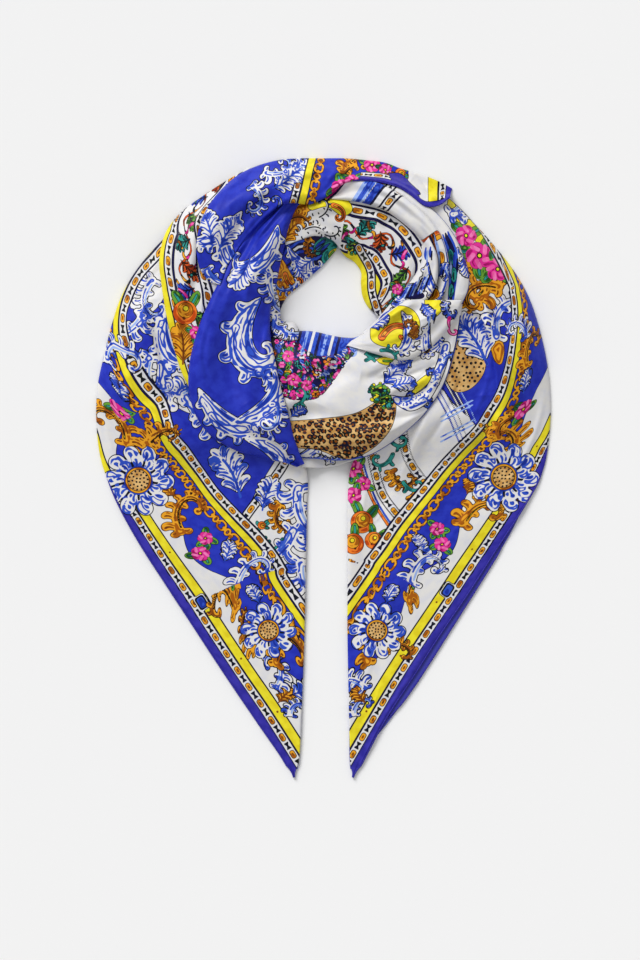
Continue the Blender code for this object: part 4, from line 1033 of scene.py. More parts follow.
MAKERS = {
    "blue_scroll": partial(scroll, inks=BLUE_WORK), "gold_scroll": partial(scroll, inks=GOLD_WORK),
    "grey_scroll": partial(scroll, inks=("white", "white", "dark")),
    "feather": feather, "gold_feather": partial(feather, inks=GOLD_WORK), "plume": plume,
    "leaflet_teal": partial(leaflet, inks=("teal", "sky")),
    "leaflet_yellow": partial(leaflet, inks=("yellow", "leaf")),
    "volute": volute, "volute_red": partial(volute, inks=("magenta", "magenta", "pink")),
    "volute_blue": partial(volute, inks=("china", "china", "blue")),
    "blossom": blossom, "rosette": rosette, "fruit": fruit, "jewel": jewel, "tendril": tendril,
    "strokes": strokes, "bud": bud, "bouquet": bouquet,
}


def place_motifs(cloth, table):
    """Paint a table of motifs in the coordinates that the cloth is drawn in."""
    for motif in table:
        place = np.array([motif.x, motif.y], float)
        MAKERS[motif.kind](cloth, place, motif.size, math.radians(motif.heading), motif.curl)


def plan_motifs(cloth, table):
    """Paint a table of motifs on the plan."""
    cloth.on(cloth.plan)
    place_motifs(cloth, table)


def repeated(along, pitch, shift=0.0):
    """Distance along from the nearest place of a repeat."""
    return (along - shift + pitch / 2) % pitch - pitch / 2


def tablet(p, q, half_p, half_q, corner):
    """Signed distance into an oblong with round corners."""
    past_p = np.maximum(np.abs(p) - half_p + corner, 0)
    past_q = np.maximum(np.abs(q) - half_q + corner, 0)
    return corner - np.hypot(past_p, past_q)


def bead_band(cloth, along, across, low, high):
    """A white band of gold tablets and dark bows in turn."""
    half, off = (high - low) / 2, across - (low + high) / 2
    cloth.stripe("white", across, low, high)
    tablets = repeated(along, BEAD_PITCH)
    bows = np.abs(repeated(along, BEAD_PITCH, BEAD_PITCH / 2))
    cloth.paint("gold", tablet(tablets, off, 4.6, half * 0.55, 2.0))
    cloth.paint("amber", tablet(tablets, off, 2.2, 1.0, 0.9))
    cloth.paint("dark", np.minimum(4.4 - bows, 0.8 + 0.55 * bows - np.abs(off)))


def chain_band(cloth, along, across, low, high):
    """A gold chain of long links and round ones, with bars between."""
    half, off = (high - low) / 2, across - (low + high) / 2
    links, rounds = repeated(along, LINK_PITCH), repeated(along, LINK_PITCH, LINK_PITCH / 2)
    for share, radius, at in ((0.3, half, links), (0.17, half * 0.8, rounds)):
        link = tablet(at, off, LINK_PITCH * share - 1, radius - 1, radius * 0.7)
        cloth.paint("gold", 1.0 - np.abs(link))
    cloth.paint("gold", tablet(repeated(along, LINK_PITCH / 2, LINK_PITCH / 4), off, 2.6, 1.5, 1.2))
    cloth.paint("amber", tablet(rounds, off, 1.2, 1.2, 1.1))


def bands(cloth, along, across, *rows):
    """Bands of an ink, of beads or of chain, each from low to high across."""
    for kind, low, high in rows:
        if kind == "beads":
            bead_band(cloth, along, across, low, high)
        elif kind == "chain":
            chain_band(cloth, along, across, low, high)
        else:
            cloth.stripe(kind, across, low, high)


def frieze(cloth, along, across, low, high, pitch):
    """A white band of small leaves, curls and commas in many colours."""
    cloth.stripe("white", across, low, high)
    middle, tall = (low + high) / 2, high - low
    leaves = (("teal", "navy"), ("rust", "amber"), ("blue", "navy"), ("leaf", "dark"))
    curls = (("magenta", "magenta", "pink"), ("gold", "yellow", "amber"), ("dark", "teal", "dark"))
    commas = ((0.62, 0.02, 0.5, 0.4, 2.6), (0.2, 0.66, 0.4, 2.6, -2.4), (0.95, 0.1, 0.4, 1.6, 2.4))
    cloth.on(np.column_stack([along, across]), tall / 2 - 1 - np.abs(across - middle))
    vine = np.arange(along.min(), along.max(), pitch / 6)
    sway = middle + tall * 0.3 * np.sin(vine * math.pi / pitch)
    cloth.stroke("rust", np.column_stack([vine, sway]), 0.9)
    for step in range(int(along.min() // pitch), int(along.max() // pitch) + 1):
        way = 1 if step % 2 else -1
        place = np.array([step * pitch, middle - way * tall * 0.28])
        feather(cloth, place, tall * 0.88, way * 0.9, way * 1.3, leaves[step % 4])
        curl = place + np.array([pitch * 0.62, way * tall * 0.42])
        volute(cloth, curl, tall * 0.24, way * 2.4, way * -2.4, curls[step % 3])
        for share, rise, reach, heading, bend in commas:
            path, _ = spiral(place + np.array([pitch * share, way * tall * rise]), way * heading,
                             tall * reach, way * bend, 9)
            cloth.stroke(curls[(step + round(3 * share)) % 3][0], path, swelling(9, tall * 0.05))
    cloth.on(cloth.flat)


def seeds(cloth, pitch, open_rings):
    """Uneven dark spots, or broken rings round darker middles, over what the clip leaves."""
    chance = np.random.default_rng(11)
    shown = cloth.places[cloth.clip > 0]
    if not len(shown):
        return
    (left, low), (right, high) = shown.min(axis=0), shown.max(axis=0)
    for row, y in enumerate(np.arange(low, high, pitch * 0.86)):
        for x in np.arange(left + row % 2 * pitch / 2, right, pitch):
            spot = np.array([x, y]) + chance.uniform(-0.22, 0.22, 2) * pitch
            if not open_rings:
                cloth.disc("dark", spot, pitch * chance.uniform(0.2, 0.3))
                continue
            start = chance.uniform(0, math.tau)
            cloth.disc("amber", spot, pitch * 0.22)
            for arc in (0, math.tau * 0.52):
                turns = start + arc + np.linspace(0, chance.uniform(1.5, 2.4), 5)
                ring = np.column_stack([np.cos(turns), np.sin(turns)]) * pitch * 0.33
                cloth.stroke("dark", spot + ring, pitch * 0.12)


def curve(text):
    """The smooth curve through the places that a text gives."""
    return smooth_curve(numbers(text))


def ribbon(cloth, text, half=4.4):
    """A bead band along a curve on the plan, between two dark lines."""
    off, station = nearest_on(curve(text), cloth.plan)
    off = np.abs(off)
    cloth.paint("navy", half + 1.7 - off)
    bead_band(cloth, station, off, -half, half)


def border_places(cloth, outer_rows, band_rows):
    """Where each point is on the flat border: along the hem from the tail's tip, and in from it."""
    outer, band = smooth_curve(outer_rows), smooth_curve(band_rows)
    from_hem, station = nearest_on(outer[:, :2], cloth.plan)
    from_band, band_station = nearest_on(band, cloth.plan)
    matched = np.maximum.accumulate(nearest_on(outer[:, :2], band)[1])
    matched = np.convolve(np.pad(matched, MATCH_REACH, mode="edge"),
                          np.full(2 * MATCH_REACH + 1, 1 / (2 * MATCH_REACH + 1)), mode="valid")
    side = np.copysign(1, from_band * np.median(from_band[np.abs(from_hem) < BORDER / 4]))
    from_hem, from_band = np.abs(from_hem), np.abs(from_band) * side
    share = from_hem / np.maximum(from_hem + from_band, 1)
    blend = np.clip((share - 0.25) / 0.5, 0, 1)
    along = station + blend * (np.interp(band_station, walked(band), matched) - station)
    hidden = np.interp(along, walked(outer[:, :2]), outer[:, 2])
    return np.column_stack([along, hidden + share * (BORDER - hidden)])


def print_border(cloth, places, table):
    """The wide border: violet, beads, yellow, white and cobalt, chain, yellow and beads."""
    along, across = places.T
    cloth.on(places)
    cloth.paint("ground", BORDER - 1.5 - across)
    wave = 56 + 13 * np.sin((along - 40) * math.tau / 145)
    cloth.paint("white", np.minimum(wave - across, across))
    bands(cloth, along, across, *BORDER_BANDS)
    cloth.paint("amber", 1.3 - np.hypot(repeated(along, 3.2 * BEAD_PITCH), across - 25))
    place_motifs(cloth, table)


def print_tail_left(cloth):
    """Cobalt field with white and blue leaves, a bead band across it, and the border."""
    places = border_places(cloth, OUTER_LEFT, BAND_LEFT)
    cloth.on(cloth.plan, places[:, 1] - BORDER + 2)
    cloth.patch("white", "-38 40; -8 40; -8 -175; -30 -158; -60 -95; -92 -58",
                "-230 190; -250 250; -205 262; -188 215; -205 185",
                "-214 130; -180 128; -150 92; -140 62; -172 70; -200 100")
    ribbon(cloth, "-36 30; -46 6; -62 -18; -88 -52; -110 -84")
    place_motifs(cloth, TAIL_LEFT_FIELD)
    print_border(cloth, places, TAIL_LEFT_BORDER)
    plan_motifs(cloth, TAIL_LEFT_ROUND)


def print_tail_right(cloth):
    """White field with bead bands, fruit and flowers, cobalt and ochre parts, and the border."""
    places = border_places(cloth, OUTER_RIGHT, BAND_RIGHT)
    field = places[:, 1] - BORDER + 2
    cloth.on(cloth.plan, field)
    cloth.patch("white", "8 60; 60 90; 128 98; 156 74; 186 30; 120 -35; 60 -105; 20 -150; 8 -150")
    for ink, shift, half in (("blue", 0, 1.1), ("blue", 5.5, 0.9), ("navy", 11, 0.8),
                             ("white", 17, 0.9), ("white", 22, 0.9), ("sky", 28, 0.9)):
        cloth.stroke(ink, numbers("128 98; 150 58; 166 20") + np.array([0.9, 0.4]) * shift, half)
    for low in (62, 67.5, 38, 43.5):
        cloth.stroke("sky", np.array([(140.0, low - 8), (178, low + 12)]), 0.9)
    for ink, shift in (("orange", 0), ("blue", 4.5)):
        cloth.stroke(ink, curve("36 50; 43 6; 58 -38; 80 -74")[::4] + np.array([shift, 0]), 1.2)
    ribbon(cloth, "52 60; 58 14; 69 -29; 88 -57; 108 -80")
    ribbon(cloth, "92 70; 95 39; 101 11; 117 -14; 134 -32")
    cloth.patch("white", "105 350; 172 318; 240 240; 236 196; 200 184; 150 186; 120 230; 100 290")
    cloth.patch("yellow", "150 322; 168 306; 196 270; 190 262; 164 290; 148 304")
    cloth.patch("gold", "198 166; 214 146; 212 124; 205 126; 199 146")
    cloth.patch("ochre", "146 172; 170 180; 190 156; 193 118; 176 94; 154 92; 142 122")
    cloth.on(cloth.plan, np.minimum(field, cloth.fields["ochre"] - 1.5))
    seeds(cloth, 6.4, False)
    cloth.on(cloth.plan, field)
    place_motifs(cloth, TAIL_RIGHT_FIELD)
    print_border(cloth, places, TAIL_RIGHT_BORDER)
    plan_motifs(cloth, TAIL_RIGHT_ROUND)


def print_frieze_strand(cloth):
    """A banded stretch: yellow edge, beads, a frieze of tendrils and beads again."""
    # Near its top the stretch turns away under the crown, and its bands run out over its edge.
    along, across = cloth.along, cloth.from_a + 0.74 * np.maximum(112 - cloth.along, 0)
    cloth.ground("white")
    frieze(cloth, along, across, 26, 60, 27)
    bands(cloth, along, across, ("navy", 9, 26), ("yellow", 1, 10.5), ("beads", 12.5, 22.5),
          ("navy", 60, 77), ("beads", 63, 73))
    plan_motifs(cloth, FRIEZE_MOTIFS)


def print_crown(cloth):
    """Cobalt with white and blue scrolls, a strip of yellow and chain, flowers, and the corner."""
    plan_motifs(cloth, CROWN_SCROLLS)
    off, station = nearest_on(curve("-8 380; -15 348; -21 320; -30 290"), cloth.plan)
    bands(cloth, station, off, ("navy", -8.5, 2), ("yellow", -7, 0.8), ("chain", 2, 13))
    cloth.on(cloth.plan, 338 - cloth.plan[:, 1])
    bands(cloth, station, off, ("navy", -18, -8.5), ("beads", -16.5, -9.5))
    plan_motifs(cloth, CROWN_FLOWERS)
    along, across = cloth.along, cloth.from_b
    cloth.on(cloth.flat)
    cloth.paint("white", 60 - along)
    cloth.on(cloth.flat, np.minimum(118 - along, along - 44))
    bands(cloth, along, across, ("navy", 10, 23.5), ("violet", -3, 11), ("beads", 12.5, 22))
    cloth.on(cloth.flat, 62 - along)
    bands(cloth, across, along, ("yellow", 21, 32), ("navy", 8, 20.5), ("beads", 10, 18.5))
    cloth.paint("violet", np.maximum(9 - along, 8 - across))
    cloth.on(cloth.plan)
    cloth.patch("violet", "77 352; 92 352; 104 340; 116 325; 96 326; 84 336")


def print_inner_band(cloth):
    """A frieze of tendrils between bead bands, white and gold at its start, yellow beyond."""
    along, across = cloth.along, cloth.from_a
    cloth.ground("white")
    frieze(cloth, along, across, 27, 58, 25)
    bands(cloth, along, across, ("navy", 9, 27), ("beads", 12, 23))
    cloth.paint("yellow", across - 71)
    bands(cloth, along, across, ("navy", 58, 76), ("beads", 61.5, 72))
    cloth.paint("white", 84 - along)
    cloth.on(cloth.plan)
    cloth.patch("gold", "-50 282; -40 304; -20 316; -14 308; -30 296; -40 278")
    cloth.patch("yellow", "-20 316; 0 324; 26 320; 34 306; 22 300; 4 310; -16 306")
    place_motifs(cloth, BAND_MOTIFS)
    ribbon(cloth, "42 262; 56 236; 58 210; 66 182", 3.6)


def print_inner_wall(cloth):
    """Deep blue with waves of blue and white, green at its right, and gold lobes."""
    cloth.on(cloth.plan)
    cloth.patch("navy", "-40 285; 16 290; 24 255; -5 232; -24 244; -40 262")
    for step in range(10):
        wave = numbers("-44 276; -26 288; -12 278; 2 288") - np.array([0, 6 * step])
        ink = ("blue", "navy", "sky", "blue", "white")[step % 5]
        cloth.stroke(ink, smooth_curve(wave)[::6], 1.4)
    cloth.patch("teal", "0 290; 20 290; 26 256; 8 240; -2 250; 6 268")
    cloth.patch("gold", "-62 250; -50 248; -36 226; -26 212; -44 198; -60 206")
    cloth.patch("navy", "-70 197; -40 199; -40 176; -70 170")
    place_motifs(cloth, WALL_MOTIFS)


def print_white(cloth, table=()):
    """White with a few motifs."""
    cloth.ground("white")
    plan_motifs(cloth, table)


def crossing(cloth, *rows):
    """White, with bands across the stretch, slightly slanting."""
    print_white(cloth)
    cloth.on(cloth.flat)
    bands(cloth, cloth.from_a, cloth.along + 0.3 * cloth.from_a, *rows)


def valley_shade_strokes(cloth, text, *rows):
    """Swelling strokes along a curve on the plan, each moved to its side by a shift: painted shade
    down the trough of a roll.
    """
    for ink, move, thick in rows:
        path = curve(text)[::4] + np.array(move)
        cloth.stroke(ink, path, swelling(len(path), thick))


def print_roll_outer(cloth):
    """White, with a banded start, blue brush strokes on its right, and strokes down its deep trough
    that are partly print and partly painted shade.
    """
    crossing(cloth, ("rust", 6, 11), ("yellow", 11, 14), ("magenta", 14, 20), ("navy", 24, 26.5),
             ("navy", 36, 38.5), ("beads", 26.8, 35.8))
    plan_motifs(cloth, OUTER_ROLL_MOTIFS)
    # Painted shade down the trough next to the middle roll: navy and blue strokes, then teal leaves
    # and strokes.
    valley_shade_strokes(cloth, "145 278; 154 246; 151 192", ("blue", (3, 1.8), 3.2), ("navy", (0, 0), 4.2),
           ("blue", (-3, -1.8), 2.0))
    place_motifs(cloth, VALLEY_SHADE_MOTIFS)
    cloth.on(cloth.flat)
    cloth.paint("blue", np.minimum(3.4 - cloth.from_a, cloth.along - 60))
    cloth.paint("navy", np.minimum(1.2 - cloth.from_a, cloth.along - 60))


def print_roll_middle(cloth):
    """White, with blue bands and beads across its start, orange and blue strokes, and strokes down
    its deep trough that are partly print and partly painted shade.
    """
    crossing(cloth, ("magenta", -5, 14), ("navy", 14, 18), ("sky", 40, 45), ("blue", 45, 51),
             ("sky", 51, 54), ("blue", 55, 63), ("navy", 63, 66), ("navy", 74, 76.5),
             ("navy", 86, 88.5), ("orange", 146, 150), ("gold", 150, 155), ("beads", 76.8, 85.8))
    cloth.on(cloth.flat, cloth.along - 150)
    cloth.stripe("gold", cloth.from_b, 3, 6)
    cloth.stripe("blue", cloth.from_a, 5, 8.5)
    plan_motifs(cloth, MIDDLE_ROLL_MOTIFS)
    cloth.patch("gold", "135 256; 142 253; 143 244; 137 243", "123 210; 134 212; 137 203; 126 199")
    # Down the middle roll's trough: dark and navy strokes of painted shade, with sky and amber
    # strokes of the print beside them.
    valley_shade_strokes(cloth, "127 274; 133 240; 126 200", ("sky", (4, 3.2), 2.4), ("navy", (0, 0), 3.2),
           ("amber", (2.2, 1.76), 1.0), ("dark", (-1, -0.8), 1.6))


def print_roll_inner(cloth):
    """White, with blue strokes and a deep blue end."""
    print_white(cloth, INNER_ROLL_MOTIFS)
    cloth.patch("navy", "90 210; 104 212; 119 206; 117 200; 100 200; 90 204")
    for step in range(9):
        line = np.array([(92.0 + 3.4 * step, 200 + step), (100 + 3.4 * step, 214 + 2 * step)])
        cloth.stroke(("blue", "sky", "navy")[step % 3], line, swelling(2, 1.4))


def print_cowl_front(cloth):
    """White with a bouquet, an ochre part with dark spots, sprigs, and a blue and white rim."""
    print_white(cloth)
    cloth.patch("dark", "-70 168; 10 170; 48 160; 20 119; 8 102; -4 88; -20 82; -46 86; -70 110")
    posy = cloth.fields["dark"] + 2.5
    for step in range(6):
        line = np.array([(-44.0 + 17 * step, 174), (-50 + 17 * step, 136)])
        cloth.stroke(("blue", "sky")[step % 2], line, 5.0)
    cloth.on(cloth.plan, posy)
    place_motifs(cloth, COWL_FLOWERS)
    cloth.patch("blue", "-32 166; 34 158; 20 138; -6 132; -28 146")
    for step in range(7):
        line = np.array([(-26.0 + 8 * step, 166), (-34 + 8 * step, 134)])
        cloth.on(cloth.plan, cloth.fields["blue"] + 1.5)
        cloth.stroke(("navy", "sky", "white")[step % 3], line, 1.7)
    plan_motifs(cloth, MARGIN_MOTIFS)
    cloth.patch("ochre", "-48 54; -6 57; 36 63; 64 78; 76 86; 86 74; 80 46; 58 22; 28 9; -2 19;"
                         "-30 23; -48 26")
    cloth.on(cloth.plan, cloth.fields["ochre"] - 1.0)
    seeds(cloth, 7.6, True)
    cloth.on(cloth.plan)
    cloth.patch("yellow", "96 82; 110 88; 126 102; 124 110; 108 98")
    place_motifs(cloth, COWL_MOTIFS)
    cloth.patch("china", "79 85; 87 75; 103 67; 121 75; 135 95; 146 122; 150 146; 141 146; 136 126;"
                         "125 99; 111 87; 96 83")
    place_motifs(cloth, RIM_MOTIFS)
    cloth.on(cloth.flat, cloth.along - 12)
    cloth.stripe("blue", cloth.from_b, -2, 3.4)
    cloth.stripe("navy", cloth.from_b, 3.0, 4.2)


def print_cowl_twist(cloth):
    """White with yellow lobes and blue and gold scrolls."""
    print_white(cloth)
    cloth.patch("yellow", "56 170; 84 190; 106 186; 114 168; 104 150; 80 142; 58 150",
                "120 200; 136 202; 140 186; 128 176; 122 186")
    place_motifs(cloth, TWIST_MOTIFS)


PRINTS = {
    "tail_left": print_tail_left,
    "tail_right": print_tail_right,
    "inner_wall_left": print_inner_wall,
    "inner_band": print_inner_band,
    "roll_outer": print_roll_outer,
    "roll_middle": print_roll_middle,
    "roll_inner": print_roll_inner,
    "frieze_strand": print_frieze_strand,
    "cowl_under": partial(print_white, table=UNDER_MOTIFS),
    "cowl_front": print_cowl_front,
    "cowl_twist": print_cowl_twist,
    "lip_left": partial(print_white, table=LIP_MOTIFS),
    "strand_left": partial(plan_motifs, table=STRAND_MOTIFS),
    "crown_strand": print_crown,
    "core": partial(plan_motifs, table=CORE_MOTIFS),
}


# ---------------------------------------------------------------------------------------------
# Materials.

def linear(code):
    """An sRGB hex colour as the linear colour that a shader takes."""
    parts = [int(code[start:start + 2], 16) / 255 for start in (1, 3, 5)]
    return [part / 12.92 if part <= 0.04045 else ((part + 0.055) / 1.055) ** 2.4
            for part in parts] + [1]


def add_node(tree, kind, settings=None, **links):
    """Add a node, with its settings, and with its inputs linked or set by name."""
    node = tree.nodes.new(kind)
    for name, value in (settings or {}).items():
        setattr(node, name, value)
    for name, value in links.items():
        socket = node.inputs[int(name[1:]) if name[1:].isdigit() else name.replace("_", " ")]
        if isinstance(value, bpy.types.NodeSocket):
            tree.links.new(value, socket)
        else:
            socket.default_value = value
    return node


def new_material(name):
    """An empty material with its tree and its shader."""
    material = bpy.data.materials.new(name)
    material.use_nodes = True
    tree = material.node_tree
    tree.nodes.clear()
    shader = add_node(tree, "ShaderNodeBsdfPrincipled")
    add_node(tree, "ShaderNodeOutputMaterial", Surface=shader.outputs[0])
    return material, tree, shader


def mixed(tree, share, first, second):
    """Mix of two colours."""
    return add_node(tree, "ShaderNodeMix", {"data_type": "RGBA"}, i0=share, i6=first,
                    i7=second).outputs[2]


def twill(tree, shader):
    """Silk twill: fine diagonal ribs, a satin sheen and a soft highlight."""
    flat = add_node(tree, "ShaderNodeUVMap", {"uv_map": "flat"}).outputs[0]
    # The real twill has a rib each 0.5 mm; these are 1.5 mm apart, as finer ones can't be seen.
    ribs = add_node(tree, "ShaderNodeTexWave", {"bands_direction": "DIAGONAL"}, Vector=flat,
                    Scale=296.0, Distortion=1.5, Detail=1.0)
    bump = add_node(tree, "ShaderNodeBump", Strength=0.12, Distance=0.0002,
                    Height=ribs.outputs["Fac"])
    tree.links.new(bump.outputs[0], shader.inputs["Normal"])
    for name, value in (("Roughness", 0.42), ("Specular IOR Level", 0.12), ("Sheen Weight", 0.02),
                        ("Sheen Roughness", 0.35)):
        shader.inputs[name].default_value = value
    return flat


def printed_silk():
    """Printed silk twill. The real one gives the eye clear, saturated inks with dark outlines, each
    ink a little uneven as if brushed, on a smooth cloth with soft satin highlights."""
    material, tree, shader = new_material("printed silk twill")
    flat = twill(tree, shader)
    cloud = add_node(tree, "ShaderNodeTexNoise", Vector=flat, Scale=90.0, Detail=3.0)
    uneven = add_node(tree, "ShaderNodeMapRange", i0=cloud.outputs["Fac"], i1=0.42,
                      i2=0.62).outputs[0]
    drift = add_node(tree, "ShaderNodeTexNoise", Vector=flat, Scale=60.0, Detail=1.0).outputs["Fac"]
    wander = add_node(tree, "ShaderNodeMath", {"operation": "MULTIPLY_ADD"}, i0=drift, i1=15.0,
                      i2=-9.0).outputs[0]
    colour = mixed(tree, uneven, linear(GROUND.light), linear(GROUND.dark))
    for name, ink in INKS.items():
        inside = add_node(tree, "ShaderNodeAttribute",
                          {"attribute_name": f"ink_{name}"}).outputs["Fac"]
        if ink.outline:
            edge = add_node(tree, "ShaderNodeMapRange", i0=inside, i1=-ink.line_width - SOFT,
                            i2=-ink.line_width + SOFT)
            colour = mixed(tree, edge.outputs[0], colour, linear(ink.outline))
        fill = add_node(tree, "ShaderNodeMapRange", i0=inside, i1=-SOFT, i2=SOFT)
        share = uneven
        if ink.brushed:
            # The brush went along each shape's edge, so its marks lie at even distances from it.
            phase = add_node(tree, "ShaderNodeMath", {"operation": "MULTIPLY_ADD"}, i0=inside,
                             i1=math.tau / BRUSH_PITCH, i2=wander)
            marks = add_node(tree, "ShaderNodeMath", {"operation": "SINE"}, i0=phase.outputs[0])
            share = add_node(tree, "ShaderNodeMapRange", i0=marks.outputs[0], i1=-0.1,
                             i2=0.35).outputs[0]
        tones = mixed(tree, share, linear(ink.light), linear(ink.dark))
        colour = mixed(tree, fill.outputs[0], colour, tones)
    tree.links.new(colour, shader.inputs["Base Color"])
    return material


def plain_silk(name, light, dark):
    """Silk twill in one dye. The real one gives the eye an even, deep colour that wanders a little,
    with soft satin highlights."""
    material, tree, shader = new_material(name)
    flat = twill(tree, shader)
    noise = add_node(tree, "ShaderNodeTexNoise", Vector=flat, Scale=40.0, Detail=2.0)
    colour = mixed(tree, noise.outputs["Fac"], linear(light), linear(dark))
    tree.links.new(colour, shader.inputs["Base Color"])
    return material


def matte(name, code, roughness):
    """A plain matt material. Real thread and card give the eye one colour and no highlight."""
    material, _, shader = new_material(name)
    shader.inputs["Base Color"].default_value = linear(code)
    shader.inputs["Roughness"].default_value = roughness
    return material


def material_once(name, make):
    """The material of that name, made on its first use."""
    return bpy.data.materials.get(name) or make()


# ---------------------------------------------------------------------------------------------
# Objects.

def new_object(name, points, faces, material):
    """A mesh object from points in millimetres."""
    mesh = bpy.data.meshes.new(name)
    mesh.from_pydata((points * METRE).tolist(), [], faces)
    mesh.polygons.foreach_set("use_smooth", np.ones(len(mesh.polygons), bool))
    mesh.materials.append(material)
    mesh.update()
    thing = bpy.data.objects.new(name, mesh)
    bpy.context.scene.collection.objects.link(thing)
    return thing


def add_flat_map(mesh, flat):
    """Keep each corner's flat place on the cloth, in metres."""
    corners = np.empty(len(mesh.loops), int)
    mesh.loops.foreach_get("vertex_index", corners)
    mesh.uv_layers.new(name="flat").data.foreach_set("uv", (flat * METRE)[corners].ravel())


def add_inks(mesh, cloth):
    """Keep the print on the mesh."""
    for ink, values in cloth.fields.items():
        attribute = mesh.attributes.new(f"ink_{ink}", "FLOAT", "POINT")
        attribute.data.foreach_set("value", values.astype(np.float32))


def quads(rows, columns, flip):
    """Faces of a grid of points, upwards or flipped."""
    index = np.arange(rows * columns).reshape(rows, columns)
    faces = np.stack([index[:-1, :-1], index[:-1, 1:], index[1:, 1:], index[1:, :-1]], axis=-1)
    return (faces[..., ::-1] if flip else faces).reshape(-1, 4).tolist()


def add_stretch(name):
    """Lay and print one stretch of the cloth."""
    spec = STRETCHES[name]
    laid = sheet_points(name)
    support.add_sheet(laid)
    edges_of[name] = laid
    grid = turned_under(laid)
    flat = cloth_places(grid)
    cloth = Cloth(flat, grid)
    PRINTS[name](cloth)
    one, two, three = grid[1, 1], grid[2, 1], grid[1, 2]
    up = np.cross(two - one, three - one)[2] > 0
    material = material_once("printed silk twill", printed_silk)
    sheet = new_object(f"{name}_silk", grid.reshape(-1, 3), quads(*grid.shape[:2], up), material)
    add_flat_map(sheet.data, cloth.flat)
    add_inks(sheet.data, cloth)
    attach(sheet, "root")
    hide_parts(name)
    area = sum(face.area for face in sheet.data.polygons)
    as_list(spec.rests_on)


def tube(path, radius, sides):
    """Points and faces of a tube along a path."""
    along = np.gradient(path, axis=0)
    along /= np.linalg.norm(along, axis=1, keepdims=True)
    side = np.cross(along, (0, 0, 1))
    side /= np.linalg.norm(side, axis=1, keepdims=True)
    rise = np.cross(side, along)
    turns = np.linspace(0, math.tau, sides, endpoint=False)[None, :, None]
    rings = path[:, None] + radius * (np.cos(turns) * side[:, None] + np.sin(turns) * rise[:, None])
    index = np.arange(len(path) * sides).reshape(len(path), sides)
    turned = np.roll(index, -1, axis=1)
    walls = np.stack([index[:-1], turned[:-1], turned[1:], index[1:]], axis=-1).reshape(-1, 4)
    return rings.reshape(-1, 3), [*walls.tolist(), index[0][::-1].tolist(), index[-1].tolist()]


def hem_routes():
    """The name of each hem that shows, and its path just outside the sheet's edge."""
    back = (smooth_curve(BACK_RIGHT)[::CURVE_STEPS // 2, :2] - np.array(PLAN_CENTRE))[4:-2]
    places = np.linspace(0, len(back) - 1, BACK_POINTS)
    back = np.column_stack([np.interp(places, np.arange(len(back)), column) for column in back.T]
                           + [np.full(BACK_POINTS, BACK_TOP)])
    run = np.gradient(back[:, :2], axis=0)
    inward = leftward(np.arctan2(run[:, 1], run[:, 0]))
    step, (tucked, reach) = np.arange(BACK_POINTS), BACK_TUCK
    tuck = np.clip(1 - np.minimum(step, step[::-1]) / tucked, 0, 1)[:, None] ** 2
    back[:, :2] += inward * reach * tuck
    for name, (sheet, rim, inner, share) in HEMS.items():
        edge = edges_of[sheet][:, rim]
        shown = round(len(edge) * share)
        outward = (edge - edges_of[sheet][:, inner])[:shown]
        outward[:, 2] = 0
        outward /= np.linalg.norm(outward, axis=1, keepdims=True)
        tuck = np.clip((np.arange(shown) / shown - HEM_TUCK) / (1 - HEM_TUCK), 0, 1)[:, None] ** 2
        sunk = np.array([0, 0, -1.6 * HEM_RADIUS]) * tuck
        yield name, (edge[:shown] + outward * HEM_RADIUS * (0.5 - 2 * tuck) + sunk)[::2]
    yield "hem_right_back", back


def stitch_tree(settings, thread):
    """Geometry Nodes group that sews a row of slanting prick stitches along a path."""
    tree = bpy.data.node_groups.new("hem stitches", "GeometryNodeTree")
    tree.interface.new_socket("Geometry", in_out="INPUT", socket_type="NodeSocketGeometry")
    for name, value in settings.items():
        socket = tree.interface.new_socket(name, in_out="INPUT", socket_type="NodeSocketFloat")
        socket.default_value = value
    tree.interface.new_socket("Geometry", in_out="OUTPUT", socket_type="NodeSocketGeometry")
    given = add_node(tree, "NodeGroupInput")
    path = add_node(tree, "GeometryNodeMeshToCurve", i0=given.outputs["Geometry"])
    even = add_node(tree, "GeometryNodeResampleCurve", {"mode": "LENGTH"}, Curve=path.outputs[0],
                    Length=given.outputs["Spacing"])
    stitch = add_node(tree, "GeometryNodeMeshCylinder", Vertices=STITCH_SIDES,
                      Radius=STITCH_RADIUS * METRE, Depth=given.outputs["Length"])
    tangent = add_node(tree, "GeometryNodeInputTangent")
    slant = add_node(tree, "ShaderNodeVectorMath", {"operation": "ADD"}, i0=tangent.outputs[0],
                     i1=(0.0, 0.0, 0.6))
    aim = add_node(tree, "FunctionNodeAlignRotationToVector", {"axis": "Z"},
                   Vector=slant.outputs[0])
    placed = add_node(tree, "GeometryNodeInstanceOnPoints", Points=even.outputs[0],
                      Instance=stitch.outputs["Mesh"], Rotation=aim.outputs[0])
    real = add_node(tree, "GeometryNodeRealizeInstances", i0=placed.outputs[0])
    sewn = add_node(tree, "GeometryNodeSetMaterial", Geometry=real.outputs[0], Material=thread)
    add_node(tree, "NodeGroupOutput", Geometry=sewn.outputs[0])
    return tree


def sewn_along(name, path, settings, thread):
    """The stitches along one hem, as a plain mesh."""
    guide = bpy.data.meshes.new(f"{name}_guide")
    edges = [(step, step + 1) for step in range(len(path) - 1)]
    guide.from_pydata((path * METRE).tolist(), edges, [])
    row = bpy.data.objects.new(f"{name}_stitches", guide)
    bpy.context.scene.collection.objects.link(row)
    tree = bpy.data.node_groups.get("hem stitches") or stitch_tree(settings, thread)
    modifier = row.modifiers.new("stitches", "NODES")
    modifier.node_group = tree
    for item in tree.interface.items_tree:
        if item.in_out == "INPUT" and item.name in settings:
            modifier[item.identifier] = settings[item.name]
    seen = row.evaluated_get(bpy.context.evaluated_depsgraph_get())
    sewn = bpy.data.meshes.new_from_object(seen)
    row.modifiers.remove(modifier)
    row.data = sewn
    bpy.data.meshes.remove(guide)
    return row


# ---------------------------------------------------------------------------------------------
# The add-on.

